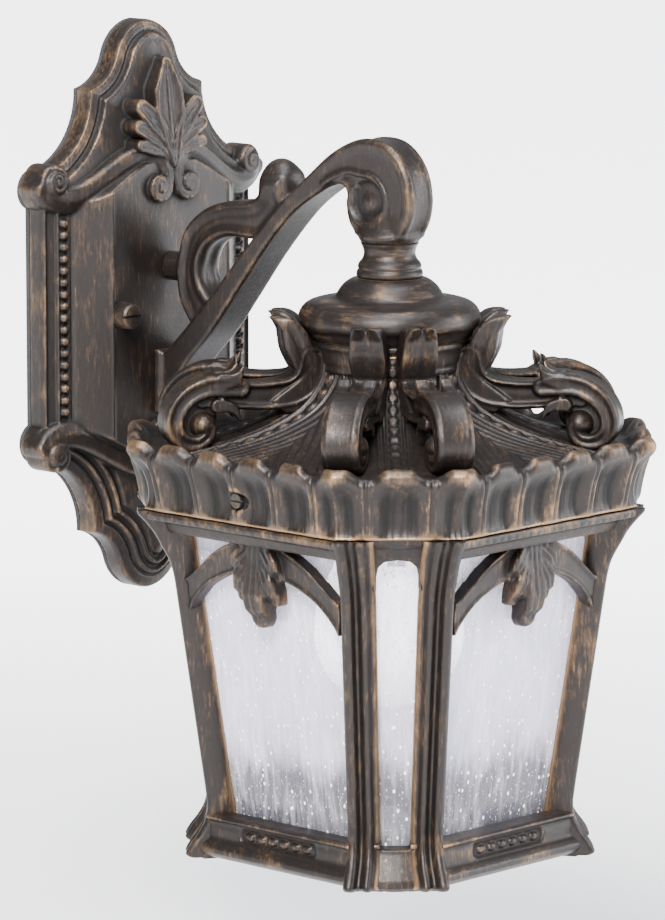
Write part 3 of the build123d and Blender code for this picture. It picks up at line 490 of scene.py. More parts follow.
def bronze(name, colours, brushing, gold=1.0, warm=1.0, gloss=0.40):
    """Dark bronze paint with gold rubbed over the edges, brushed along one direction, and near black in
    hollows and creases, partly as patina and partly as painted shade.
    """
    paint = Paint(name)
    along = tuple(0.16 if axis in brushing else 1.0 for axis in "xyz")
    streaks = paint.noise(0.0011, along, 5.0, 0.65)
    long_streaks = paint.noise(0.004, along, 3.0, 0.6)
    clouds = paint.noise(0.022, detail=3.0)
    grit = paint.noise(0.00045, detail=3.0, roughness=0.7)
    pits = paint.noise(0.0016, detail=5.0, roughness=0.7)
    edge = paint.stored("edge")
    hollow = paint.stored("hollow")
    drifts = paint.noise(0.009, detail=4.0)
    worn = (streaks - 0.5) * 0.46 + (clouds - 0.5) * 0.50 + (pits - 0.5) * 0.30 + (drifts - 0.5) * 0.55
    crest = paint.between(edge + worn, 0.14, 0.62)
    broad = paint.between(hollow + worn * 4.0, 0.35, 1.9)
    strokes = streaks * 0.9 + long_streaks * 0.5 + clouds * 0.35 + (drifts - 0.5) * 0.3
    brushed = paint.between(strokes, 0.87, 1.19)
    specks = paint.between(grit * 0.5 + streaks * 0.7, 0.70, 0.86)
    # sunk: mask of hollows and creases that turns the colour near black; partly dark patina, partly painted
    # shade
    sunk = paint.between(hollow * -1.0 - edge * 1.2 + (clouds - 0.5) * 0.5, 0.05, 1.0)
    browned = (brushed * 0.72 * warm + specks * 0.45 + broad * 0.30 + 0.04).clamped()
    base = paint.mix(browned, colours.bronze[:], colours.umber[:])
    rubbed = (crest * 0.46 * gold + broad * 0.18 * gold + specks * brushed * 0.28 * warm
              + specks * 0.10).clamped()
    lit = paint.mix(rubbed, base, colours.rub[:])
    # painted shade and patina: hollows and creases mixed towards near black
    colour = paint.mix((sunk * 0.95).clamped(), lit, colours.recess_patina_and_shade[:])
    rough = gloss + (pits - 0.5) * 0.35 + sunk * 0.25 - rubbed * 0.06
    rise = grit * 0.35 + pits * 0.5 + streaks * 0.35
    shader = paint.surface(
        Base_Color=colour, Roughness=rough.clamped(), Metallic=(0.50 + rubbed * 0.35).clamped(),
        Normal=paint.raised(rise, 0.00032, 0.55), Specular_IOR_Level=0.38)
    return paint.finish(shader)


def seeded_glass(colours):
    """Clear glass full of fine bubbles and faint upright streaks, with a painted dark band at the bottom
    that stands in for the dark back rail seen through it.
    """
    paint = Paint("seeded_glass")
    height = paint.node("ShaderNodeSeparateXYZ", {}, {0: paint.place()}, "Z")
    seeds = paint.cells(0.0032, (1, 1, 0.7))
    fine = paint.cells(0.0015, (1, 1, 0.6))
    streaks = paint.noise(0.0022, (1, 1, 0.05), 4.0, 0.6)
    clouds = paint.noise(0.018, (1, 1, 0.5), 3.0)
    dots = paint.between(seeds + (clouds - 0.5) * 0.1, 0.22, 0.12)
    specks = paint.between(fine, 0.24, 0.12)
    # low: painted shade; towards the bottom the pane turns dark, more opaque and more speckled, standing in
    # for the back rail seen through the glass
    low = paint.between(height + (streaks - 0.5) * 0.012 + (clouds - 0.5) * 0.02, -0.154, -0.172)
    haze = (0.54 + (streaks - 0.5) * 0.6 + (clouds - 0.5) * 0.4 + dots * 0.40 + specks * 0.25
            + low * 0.26).clamped()
    # painted shade: the pale tint darkens to near black in the bottom band
    tint_and_painted_band = paint.mix((low * 0.9).clamped(), colours.glass[:], (0.045, 0.043, 0.052))
    shaded = paint.mix(paint.between(streaks * 0.7 + clouds * 0.4, 0.50, 0.74, 0.0, 0.22), tint_and_painted_band,
                       (0.95, 0.95, 1.0))
    white = (dots + specks * (0.20 + low * 0.20)).clamped()
    rise = dots * 1.0 + specks * 0.5 + streaks * 0.8
    shader = paint.surface(
        Base_Color=paint.mix(white, shaded, (0.98, 0.98, 1.0)), Roughness=0.14, Metallic=0.0,
        IOR=1.45, Alpha=haze, Normal=paint.raised(rise, 0.0005, 0.8))
    return paint.finish(shader)


def frosted_bulb(colours):
    """Frosted white bulb glass, lit from inside."""
    paint = Paint("bulb_frost")
    clouds = paint.noise(0.012)
    height = paint.node("ShaderNodeSeparateXYZ", {}, {0: paint.place()}, "Z")
    lit = paint.between(height, -0.150, -0.120)
    shader = paint.surface(
        Base_Color=(0.95, 0.95, 0.97), Roughness=paint.between(clouds, 0.3, 0.7, 0.35, 0.5),
        Emission_Color=paint.mix(lit, (0.05, 0.05, 0.055), (0.97, 0.96, 1.0)),
        Emission_Strength=colours.glow, Normal=paint.raised(paint.noise(0.0006), 0.0001, 0.4))
    return paint.finish(shader)


def plain_metal(name, colour, worn, rough=0.32, metallic=1.0, brushing=""):
    """Bare or plated metal with fine scratches and dull patches."""
    paint = Paint(name)
    along = tuple(0.1 if axis in brushing else 1.0 for axis in "xyz")
    scratches = paint.noise(0.0007, along, 5.0, 0.65)
    patches = paint.noise(0.006, detail=4.0)
    shader = paint.surface(
        Base_Color=paint.mix(paint.between(patches + scratches * 0.4, 0.6, 0.9), colour, worn),
        Roughness=(rough + (scratches - 0.5) * 0.3 + (patches - 0.5) * 0.3).clamped(), Metallic=metallic,
        Normal=paint.raised(scratches + patches * 0.4, 0.0001, 0.5))
    return paint.finish(shader)


def soft_matter(name, colour, second, size, rough, depth):
    """Matt stuff with fine pores: glazed porcelain, foam, painted screw."""
    paint = Paint(name)
    pores = paint.cells(size)
    clouds = paint.noise(size * 6)
    shader = paint.surface(
        Base_Color=paint.mix(paint.between(clouds, 0.35, 0.7), colour, second),
        Roughness=(rough + (clouds - 0.5) * 0.2).clamped(), Metallic=0.0,
        Normal=paint.raised(pores, depth, 0.6))
    return paint.finish(shader)


# ---------------------------------------------------------------- wall plate
PLATE_SHARES = [(0.0, 1.0), (0.205, 0.955), (0.29, 0.884), (0.37, 0.816), (0.54, 0.772),
                (0.625, 0.62), (0.908, 0.51), (1.073, 0.455), (1.0, 0.375)]
PLATE_HALF = (60.0, 118.8)
FAN_LEAVES = [([(0, 60), (0.4, 74), (0.4, 88), (0, 101.5)], [1.2, 4.6, 8.2, 7.4, 2.4], 0.3, 2.4),
              ([(0.6, 61), (3.6, 71), (9.5, 78.5), (15.4, 84.0)], [1.0, 2.6, 4.6, 3.6], 0.0, 1.9),
              ([(0.6, 60), (4.2, 67.5), (10.5, 72.6), (17.6, 76.2)], [1.0, 2.3, 3.9, 3.1], -0.4, 1.7),
              ([(0.6, 60), (4.6, 64.6), (11.0, 67.2), (17.4, 68.6)], [1.0, 2.0, 3.1, 2.5], -0.8, 1.4)]
CROWN_EDGE = [(0, 9.0), (0.7, 10.4), (1.3, 10.3), (3.7, 11.2), (4.3, 10.5), (4.8, 10.6), (5.5, 13.4),
              (6.2, 14.0), (6.8, 13.7), (10.0, 14.7), (12.5, 15.4), (17, 16.8), (26, 18.6)]
TAIL_EDGE = [(0, 9.0), (0.7, 10.2), (1.5, 10.6), (4.8, 11.6), (5.5, 10.6), (6.0, 10.8), (6.8, 13.4),
             (7.5, 13.9), (9.2, 12.4), (10.0, 12.6), (10.8, 14.8), (11.6, 15.2), (13.4, 13.6), (14.2, 13.8),
             (15, 15.4), (22, 17.5)]
SIDE_EDGE = [(0, 9.2), (0.7, 10.6), (1.6, 10.6), (2.4, 9.6), (5.6, 11.3), (6.1, 12.9), (6.6, 13.2),
             (7.2, 12.0), (11.0, 12.0), (11.6, 13.3), (12.2, 13.4), (12.8, 13.0), (13.6, 14.4), (25.5, 23.6),
             (26.4, 24.5), (27.4, 24.0)]
PANEL_TOP = [(0, 60.0), (8, 62.5), (14.5, 62.0), (22, 58.5), (30, 54.0), (38, 49.5), (45.5, 46.5),
             (52, 46.0), (60, 46.0)]
BEAD_COLUMN = 50.9
BEAD_RADIUS = 2.1
PLATE_BACK = 2.05


def arc_through(a, b, c, count=16):
    """Points along the arc through three points."""
    a, b, c = (np.asarray(p, float) for p in (a, b, c))
    m = np.array([b - a, c - a]) * 2
    centre = np.linalg.solve(m, np.array([b @ b - a @ a, c @ c - a @ a]))
    turns = [math.atan2(*(p - centre)[::-1]) for p in (a, b, c)]
    while turns[1] - turns[0] > math.pi:
        turns[1] -= 2 * math.pi
    while turns[1] - turns[0] < -math.pi:
        turns[1] += 2 * math.pi
    while turns[2] - turns[1] > math.pi:
        turns[2] -= 2 * math.pi
    while turns[2] - turns[1] < -math.pi:
        turns[2] += 2 * math.pi
    t = np.linspace(turns[0], turns[2], count)[:-1]
    radius = math.hypot(*(a - centre))
    return centre + radius * np.stack([np.cos(t), np.sin(t)], 1)


def plate_outline():
    """Closed outline of the wall plate."""
    quarter = [(x * PLATE_HALF[0], z * PLATE_HALF[1]) for x, z in PLATE_SHARES]
    upper = np.vstack([arc_through(*quarter[i:i + 3]) for i in range(0, 8, 2)] + [quarter[-1:]])
    right = np.vstack([upper, upper[::-1] * (1, -1)])
    return np.vstack([right, (right[::-1] * (-1, 1))[1:-1]])


def spiral(centre, radius, start, turns, end_radius, count=40):
    """Points of a spiral that winds inwards."""
    t = np.linspace(0, 1, count)
    angle = math.radians(start) + t * turns * 2 * math.pi
    r = radius + (end_radius - radius) * t ** 0.8
    return np.stack([centre[0] + r * np.cos(angle), centre[1] + r * np.sin(angle)], 1)


def lobe(x, z, line, widths, top, cup=2.0):
    """Outline field and height of one scooped leaf lobe along a line."""
    gap, share = stroke(smooth_line(line, 6), x, z)
    half = np.interp(share, np.linspace(0, 1, len(widths)), widths)
    n = np.clip(gap / half, 0, 1)
    return gap - half, top - cup * (1 - n ** 2.2) - 1.6 * n ** 7 + 0.55 * bump(gap, 0.55)


def palmette(x, z):
    """Outline field and height of the crown's fan of leaves, for the right half."""
    top = np.interp(z, [58, 66, 86, 104], [28.2, 27.6, 25.2, 23.0])
    parts = [lobe(x, z, line, widths, top + rise, cup) for line, widths, rise, cup in FAN_LEAVES]
    edge, height = parts[0]
    for other_edge, other_height in parts[1:]:
        here = other_edge < np.minimum(edge, 0.0)
        between = (edge < 0) & (other_edge < 0)
        height = np.where(between, np.maximum(height, other_height), np.where(here, other_height, height))
        height = np.where((edge >= 0) & (other_edge < 0), other_height, height)
        edge = np.minimum(edge, other_edge)
    return edge, height


def crown_scroll(x, z):
    """Outline field and height of the scroll that runs from an ear to the volute under the fan."""
    run = [(61.5, 53.0), (58.0, 49.8), (52.0, 48.0), (45.5, 48.2), (38.0, 51.2), (30.0, 56.0), (22.0, 60.8),
           (14.5, 64.4), (8.6, 64.6), (4.2, 60.8), (2.8, 55.0), (3.6, 50.0)]
    line = np.vstack([smooth_line(run, 6), spiral((8.4, 51.6), 5.2, 200, 1.25, 1.0)])
    gap, share = stroke(line, x, z)
    half = np.interp(share, [0, 0.15, 0.45, 0.62, 0.72, 0.8, 1], [4.2, 6.0, 5.4, 4.2, 2.9, 2.5, 2.0])
    rise = np.interp(share, [0, 0.2, 0.5, 0.7, 1], [15.2, 18.5, 24.0, 27.2, 28.6])
    n = np.clip(gap / half, 0, 1)
    upper = np.interp(x, line[:60, 0][::-1], line[:60, 1][::-1])
    lean = np.clip((z - upper) / half, -1, 1) * ramp(share, 0.62, 0.5)
    body = rise - 3.4 * n ** 2.2 * (half / 5) + 1.0 * lean - 0.9 * bump(gap - 0.25 * half, 0.42 * half)
    return gap - half, body


def ear_volute(x, z):
    """Outline field and height of the volute at an ear."""
    r = np.hypot(x - 56.2, z - 56.2)
    gap, _ = stroke(spiral((56.2, 56.2), 6.0, 90, 1.75, 0.6, 60), x, z)
    height = 13.2 + 1.9 * bump(gap, 1.8) + 1.6 * bump(r, 6.6)
    return r - 7.0, height


def plate_height(x, z, sizes):
    """Height of the plate's face from the wall, for x of 0 and more."""
    edge = -outline(plate_outline(), x, z)
    side = profile(PLATE_HALF[0] - x, SIDE_EDGE)
    pitch = sizes.bead_pitch / MM
    half_count = (sizes.plate_beads - 1) / 2
    nearest = np.clip(np.round(z / pitch), -half_count, half_count) * pitch
    bead = np.hypot(x - BEAD_COLUMN, (z - nearest) * 0.98)
    domed = np.maximum(side, 12.0 + 2.9 * bump(bead, BEAD_RADIUS))
    side = np.where(bead < BEAD_RADIUS, domed, side)
    height = np.where(z > 0, profile(edge, CROWN_EDGE), profile(edge, TAIL_EDGE))
    panel_top = profile(x, PANEL_TOP)
    straight_run = ramp(np.abs(z), panel_top + 1.5, panel_top - 1.5)
    return height * (1 - straight_run) + side * straight_run, edge


def build_plate(sizes, material):
    """The cast wall plate with its crown ornament, beads and hollow back."""
    step = sizes.cast_step / MM * 1.08
    ax = np.arange(0, 68, step)
    az = np.arange(-122, 122, step)
    ad = np.arange(0.2, 32, step)
    x, z = np.meshgrid(ax, az, indexing="ij")
    height, edge = plate_height(x, z, sizes)
    depth = ad[None, :, None]

    field = (depth - layer(height)) / layer(eased(height, step, 9.0))
    field = blend_max(field, layer(-edge), 0.9)
    bosses = [palmette(x, z), crown_scroll(x, z), ear_volute(x, z), crown_scroll(x, -z), ear_volute(x, -z)]
    for border, top in bosses:
        top = np.where(top > 30, 30, top)
        solid = blend_max(layer(border), (depth - layer(top)) * 0.8, 0.8)
        field = blend_min(field, solid, 0.5)
    hollow_depth = np.where((x < 31) & (np.abs(z) < 40.5), 20.5, 6.5)
    hollow = np.maximum(layer(3.5 - edge), depth - layer(hollow_depth))
    field = np.maximum(field, -hollow)
    field = np.maximum(field, PLATE_BACK - depth)
    points, quads = skin(mirrored(field), (-ax[-1], ad[0], az[0]), step)
    piece = make_mesh("wall_plate", points * (1, -1, 1), quads[:, ::-1])
    thin_out(piece)
    mark_relief(piece, 3, 34)
    return fit_piece(piece, "fixture", "bronze_plate", material, "backplate")


# ---------------------------------------------------------------- arm
BAR_UPPER = [(0, 45), (0.057, 50.8), (0.23, 71.3), (0.398, 93.5), (0.562, 113.4)]
BAR_LOWER = [(0.62, 110.8), (0.482, 93.3), (0.351, 73.6), (0.247, 58.2), (0.135, 44.5), (0.06, 30.0),
             (0, 25.4)]
HEAD_OUTER = [(38.5, 127.0), (26.5, 136.5), (14.5, 142.3), (5.5, 143.8), (-3.5, 142.5), (-11.0, 137.3),
              (-15.6, 130.0), (-17.4, 121.5), (-16.8, 115.0), (-14.6, 110.0), (-12.0, 106.2)]
HEAD_INNER = [(12.2, 106.2), (15.2, 109.8), (17.0, 113.8), (17.6, 118.0), (17.2, 121.6), (19.6, 124.6),
              (25.0, 124.2), (31.5, 121.0)]
BRANCH_OUTER = [(0.56, 124), (0.49, 123), (0.455, 117.5), (0.40, 114.8), (0.31, 113.5), (0.20, 109.5),
                (0.11, 101), (0.075, 90), (0.065, 80), (0.08, 70), (0.12, 62), (0.17, 56)]
BRANCH_INNER = [(0.27, 68), (0.225, 73), (0.19, 79), (0.185, 86), (0.22, 93.5), (0.30, 97.8), (0.40, 98),
                (0.47, 98)]
ARM_COLLAR = [(102, 11.0), (103.2, 11.5), (104.2, 12.1), (105.4, 12.5), (106.6, 12.2), (108.0, 10.9),
              (110.0, 9.6), (114.0, 7.6), (118.0, 6.0)]
ARM_PANEL = 24.0                       # depth of the plate's panel, where the arm starts
ARM_HALF = 13.2                        # half of the space the arm is shaped in
ARM_END = 103.02                       # height of the collar's lower face


def bar_line(shares, sizes):
    """Points of the bar from shares of its span and heights above the parting line."""
    span = sizes.reach / MM - ARM_PANEL
    return [(ARM_PANEL + s * span, sizes.parting / MM + h) for s, h in shares]


def head_line(offsets, sizes):
    """Points of the head from distances to the lantern's axis and heights above the parting line."""
    return [(sizes.reach / MM - o, sizes.parting / MM + h) for o, h in offsets]


def bar_field(u, v, across, sizes, step):
    """The straight bar and the scroll head with its sunk volute."""
    reach, drop = sizes.reach / MM, sizes.parting / MM
    upper = smooth_line(bar_line(BAR_UPPER, sizes) + head_line(HEAD_OUTER, sizes), 8)
    lower = smooth_line(head_line(HEAD_INNER, sizes) + bar_line(BAR_LOWER, sizes), 8)
    throat = np.array(head_line([(-9.5, 107), (9.5, 107)], sizes))
    edge = -outline(np.vstack([upper, throat, lower]), u, v)
    centre = (reach - 6.2, drop + 118.8)
    radius = np.hypot(u - centre[0], (v - centre[1]) * 1.04)
    ring_start = head_line([(30, 124.2), (23.5, 128.0), (16.5, 130.4), (9.5, 129.9)], sizes)
    ring_line = np.vstack([smooth_line(ring_start, 6), spiral(centre, 11.0, 88, -0.86, 8.0, 50)])
    ring_gap, _ = stroke(ring_line, u, v)
    in_head = ramp(u, reach - 34, reach - 24)
    dish = profile(edge, [(0, -0.8), (1.4, 0.1), (3.0, 0.0), (5.0, -0.5), (7, -0.6)])
    thick = 9.0 - 1.5 * ramp(u, reach - 52, reach - 30)
    thick = thick + in_head * dish * ramp(v, drop + 108, drop + 116)
    well = ramp(radius, 10.0, 7.0) * in_head
    thick = thick - 1.7 * well + 0.9 * bump(ring_gap, 1.4) * ramp(u, reach - 34, reach - 26)
    thick = thick + 1.2 * ramp(radius, 5.5, 0.0)
    crown = 0.3 * bump(across - 5.6, 1.8) * flat(in_head) - 0.25 * ramp(across, 5.0, 0.0) * flat(in_head)
    sides = (across - flat(thick)) / flat(eased(thick, step, 4.0))
    return blend_max(flat(-edge) - crown, sides, 1.5)


def branch_field(u, v, across, sizes):
    """The C scroll between the plate and the bar."""
    branch = np.vstack([smooth_line(bar_line(BRANCH_OUTER, sizes), 8),
                        smooth_line(bar_line(BRANCH_INNER, sizes), 8), bar_line([(0.59, 112.0)], sizes)])
    edge = -outline(branch, u, v)
    thick = profile(edge, [(0, 4.8), (1.2, 6.6), (2.6, 7.2), (4.4, 6.3), (6.0, 5.9), (8.0, 6.1), (12, 6.1)])
    crown = -0.9 * ramp(across, 5.4, 0.0)
    return blend_max(flat(-edge) - crown, (across - flat(thick)) * 0.85, 3.0)


def arm_ends(u, v, across, sizes):
    """The knob, the stub and foot at the plate, and the round collar, each with its fillet."""
    reach, drop = sizes.reach / MM, sizes.parting / MM
    at_u, at_v = bar_line([(0.515, 122.6)], sizes)[0]
    k = np.hypot((u - at_u) * 1.02, (v - at_v) * 0.94)
    knob = np.sqrt((flat(k) / 8.8) ** 2 + (across / 7.8) ** 2) * 8.8 - 8.8
    stub = np.sqrt(across ** 2 + flat(v - drop - 83.0) ** 2) - 6.0
    stub = np.maximum(stub, flat(u) - ARM_PANEL - 12)
    foot = np.maximum(np.abs(flat(v - drop - 36.0)) - 13.0, across - 10.5)
    foot = blend_max(foot, flat(u) - ARM_PANEL - 3.2, 2.2)
    h = v - drop
    collar = np.sqrt(across ** 2 + flat((u - reach) ** 2)) - flat(profile(h, ARM_COLLAR))
    collar = np.maximum(collar, flat(np.abs(h - 108.5) - 5.5))
    return (knob, 7.0), (stub, 2.0), (foot, 1.6), (collar, 3.5)


def build_arm(sizes, material):
    """The cast arm: straight bar, scroll head with its volute, C scroll, knob and collar."""
    step = sizes.cast_step / MM
    reach, drop = sizes.reach / MM, sizes.parting / MM
    au = np.arange(ARM_PANEL - 1.5, reach + 22, step)
    av = np.arange(drop + 18, drop + 148, step)
    ax = np.arange(0, ARM_HALF, step)
    u, v = np.meshgrid(au, av, indexing="ij")
    across = ax[:, None, None]
    field = bar_field(u, v, across, sizes, step)
    field = blend_min(field, branch_field(u, v, across, sizes), 1.6)
    for part, fillet in arm_ends(u, v, across, sizes):
        field = blend_min(field, part, fillet)
    below_collar = np.where(u > reach - 25, drop + ARM_END - v, -9.0)
    field = np.maximum(field, flat(np.maximum(ARM_PANEL + 0.02 - u, below_collar)))
    points, quads = skin(mirrored(field), (-ax[-1], au[0], av[0]), step)
    piece = make_mesh("arm", points * (1, -1, 1), quads[:, ::-1])
    thin_out(piece)
    mark_relief(piece, 3, 34)
    return fit_piece(piece, "fixture", "bronze_arm", material, "arm")


# ---------------------------------------------------------------- neck ring and dome
def build_dome(sizes, material):
    """The turned dome cap and the neck ring above it."""
    dome = smooth_line([(13.2, 89.0), (15.4, 88.5), (18.4, 86.4), (20.3, 84.0), (21.7, 81.9), (24.0, 80.9),
                        (28.6, 80.3), (32.8, 79.0), (35.4, 76.4), (36.4, 73.2), (35.9, 70.9), (34.6, 69.4),
                        (33.8, 68.4), (32.6, 66.2), (31.6, 65.0)], 5)
    inner = smooth_line([(29.0, 65.0), (31.0, 69.5), (32.8, 72.5), (28.5, 76.0), (24.0, 78.0), (18.5, 82.5),
                         (14.0, 86.5), (5.3, 86.5), (5.3, 89.0)], 3)
    ring = smooth_line([(12.0, 89.0), (12.9, 89.4), (13.3, 90.4), (13.1, 91.6), (12.5, 92.6), (12.7, 93.6),
                        (12.2, 95.0), (10.9, 96.6), (10.3, 98.6), (10.6, 100.6), (11.2, 102.0),
                        (11.6, 103.0)], 6)
    bore = np.array([(5.3, 103.0), (5.3, 89.0)])
    made = []
    for name, profile, node in (("dome_cap_turned", np.vstack([dome, inner]), "dome_cap"),
                                ("neck_ring_turned", np.vstack([ring, bore]), "neck_ring")):
        points, quads = turned(profile, 144)
        wobble = np.array([math.sin(3 * t) for t in np.arctan2(points[:, 1], points[:, 0])])
        points = points * np.stack([1 + 0.0012 * wobble, 1 + 0.0012 * wobble, np.ones(len(points))], 1)
        piece = make_mesh(name, lantern_frame(points, sizes), quads[:, ::-1])
        mark_relief(piece, 3, 16)
        made.append(fit_piece(piece, "fixture", "bronze_arm", material, node))
    return made


# ---------------------------------------------------------------- roof
PETAL_MIDDLE = [(86.0, 0.2), (85.1, 2.5), (84.7, 6.0), (85.2, 10.5), (86.6, 15.0), (89.2, 19.0),
                (91.6, 22.0), (92.4, 24.4), (91.8, 26.6), (90.0, 28.0), (88.0, 27.6), (86.2, 25.6),
                (84.6, 23.4)]
PETAL_EDGE = [(86.6, 0.2), (87.2, 3.0), (87.7, 6.5), (88.4, 10.5), (89.3, 14.5), (90.3, 18.0), (90.7, 20.6),
              (90.3, 22.6), (89.3, 23.9), (88.0, 24.4), (86.8, 24.1), (85.6, 23.2), (84.4, 22.4)]
SLOPE = [(84.0, 22.4), (78.2, 22.2), (73.0, 23.2), (60.0, 26.5), (50.0, 30.2), (40.8, 35.2), (35.0, 40.2),
         (30.9, 46.2), (28.6, 52.0), (28.2, 56.0), (28.2, 61.5)]
ROOF_INSIDE = [(25.2, 61.2), (25.2, 54.0), (28.0, 46.0), (32.5, 38.0), (39.0, 31.6), (50.0, 26.2),
               (60.0, 22.8), (73.0, 19.4), (81.5, 17.6), (82.4, 12.0), (82.8, 5.0), (83.0, 0.2)]


def octagon_rings(columns_wide, columns_narrow):
    """For each column round the octagon: angle, distance ratio, share along the side, half length ratio."""
    angle, ratio, share, half = [], [], [], []
    for side in range(8):
        wide = side % 2 == 0
        count = columns_wide if wide else columns_narrow
        t = np.linspace(-1, 1, count, endpoint=False)
        angle.append(np.full(count, side * 45.0))
        ratio.append(np.full(count, 1.0 if wide else NARROW))
        half.append(np.full(count, (1 - CUT) if wide else CUT / math.sqrt(2)))
        share.append(t)
    return [np.radians(np.concatenate(angle))] + [np.concatenate(a) for a in (ratio, share, half)]


def octagon_points(width, height, angle, ratio, share, half, lift):
    """Points on an octagonal surface of the given half width, lifted along the side's normal."""
    out = width * ratio + lift
    along = share * half * (width + lift / ratio)
    return np.stack([out * np.cos(angle) - along * np.sin(angle),
                     out * np.sin(angle) + along * np.cos(angle), height + 0 * out], -1)


def petal_rows(columns, spacings):
    """Rows of points up the outside of the petal cornice."""
    angle, ratio, share, half = columns
    off = np.abs((share + 1) / 2 * spacings - np.round((share + 1) / 2 * spacings))
    pitch = 2 * half * 88.0 / spacings
    from_edge = (0.5 - off) * pitch
    ridge = np.exp(-((from_edge - 1.25) / 0.62) ** 2)
    spine = np.exp(-(from_edge / 0.5) ** 2)
    toward_edge = ramp(off, 0.16, 0.46)
    screw_side = (ratio < 1.01) & (np.abs(np.sin(angle)) < 0.1)
    middle = smooth_line(PETAL_MIDDLE, 4)
    border = smooth_line(PETAL_EDGE, 4)
    rows = []
    for k in range(len(middle)):
        up = k / len(middle)
        w = middle[k, 0] * (1 - toward_edge) + border[k, 0] * toward_edge
        h = middle[k, 1] * (1 - toward_edge) + border[k, 1] * toward_edge
        w = w + ramp(up, 0.0, 0.10) * ramp(up, 0.80, 0.55) * (0.7 * ridge - 0.6 * spine)
        w = w + 0.16 * np.sin(off * pitch * 2.6) * ramp(up, 0.5, 0.3) * (1 - toward_edge)
        oval = np.hypot(share * half * 87.0 / 4.6, (h - 9.6) / 3.3)
        w = w - np.where(screw_side, 3.0 * ramp(oval, 1.12, 0.9), 0)
        rows.append(octagon_points(w, h, *columns, 0 * w))
    return rows


def slope_rows(columns):
    """Rows of points up the slopes: reeds and beaded strips on wide sides, one bead row on narrow ones."""
    _, ratio, share, half = columns
    slope = smooth_line(SLOPE, 9)
    runs = np.concatenate([[0], np.cumsum(np.hypot(*(slope[1:] - slope[:-1]).T))])
    tilt = np.gradient(slope, axis=0)
    tilt /= np.hypot(*tilt.T)[:, None]
    rows = []
    for (w, h), run, (tw, th) in zip(slope, runs, tilt):
        length = half * w
        gap = length * (1 - np.abs(share))
        bead_at = (run / 6.2) % 1.0 - 0.5
        beads = bump(np.hypot((gap - 11.6) / 1.9, bead_at * 6.2 / 2.5) ** 1.4, 1.0) * 1.35
        strips = 0.8 * bump(gap - 8.2, 0.95) + 0.8 * bump(gap - 15.0, 0.95) - 0.5 * bump(gap - 11.6, 2.9)
        strips = strips + 0.7 * bump(gap - 4.6, 1.1)
        reeds = 0.75 * (0.5 + 0.5 * np.cos((gap - 18.6) * 2 * math.pi / 4.4)) * ramp(gap, 15.8, 17.4)
        t = share * length
        bead_width = np.interp(w, [28, 84], [1.9, 3.3])
        bead_at = (run / 5.2) % 1.0 - 0.5
        row_beads = 1.3 * bump(np.hypot(t / bead_width, bead_at * 5.2 / 2.5) ** 2.0, 1.0)
        borders = 0.7 * bump(np.abs(t) - 3.8, 0.7) + 0.5 * bump(np.abs(t) - 6.4, 0.8)
        fade = ramp(run, 2.0, 7.0) * ramp(run, runs[-1] - 1.0, runs[-1] - 5.0)
        lift = np.where(ratio < 1.01, strips + beads + reeds, row_beads + borders) * fade
        row = octagon_points(w, h, *columns, lift * abs(th))
        row[:, 2] += lift * abs(tw)
        rows.append(row)
    return rows


def build_roof(sizes, material):
    """The cast roof: petal cornice, reeded slopes, hollow inside, and the round collar on top."""
    columns = octagon_rings(130, 62)
    _, ratio, share, _ = columns
    rows = petal_rows(columns, np.where(ratio < 1.01, sizes.petals_wide, sizes.petals_narrow))
    rows += slope_rows(columns)
    rows += [octagon_points(np.full_like(share, w), h, *columns, 0 * share) for w, h in ROOF_INSIDE]
    points, quads = swept(rows, close_along=True)
    piece = make_mesh("roof_cast", lantern_frame(points, sizes), quads)
    thin_out(piece, ROOF_TRIANGLES)
    mark_relief(piece, 3, 26)
    made = [fit_piece(piece, "fixture", "bronze_roof", material, "roof")]
    collar = smooth_line([(30.6, 65.0), (31.4, 64.6), (31.6, 63.2), (31.0, 61.6), (30.6, 60.0), (30.2, 57.4),
                          (29.8, 55.6), (29.9, 54.4), (29.6, 53.2), (28.6, 52.6)], 5)
    web = np.array([(24.5, 52.6), (24.5, 61.2), (5.3, 61.2), (5.3, 65.0)])
    points, quads = turned(np.vstack([collar, web]), 144)
    piece = make_mesh("roof_collar", lantern_frame(points, sizes), quads[:, ::-1])
    mark_relief(piece, 3, 12)
    made.append(fit_piece(piece, "fixture", "bronze_roof", material, "roof"))
    return made


# ---------------------------------------------------------------- roof scrolls
def scroll_name(angle):
    """Node of the scroll on the hip at this angle."""
    corner = {0: "back_right", 1: "back_left", 2: "front_left", 3: "front_right"}[int(angle % 360 // 90)]
    nearest = min((0, 90, 180, 270), key=lambda side: abs((angle - side + 180) % 360 - 180))
    return f"scroll_{corner}_{SIDE_NAMES[nearest]}_side"


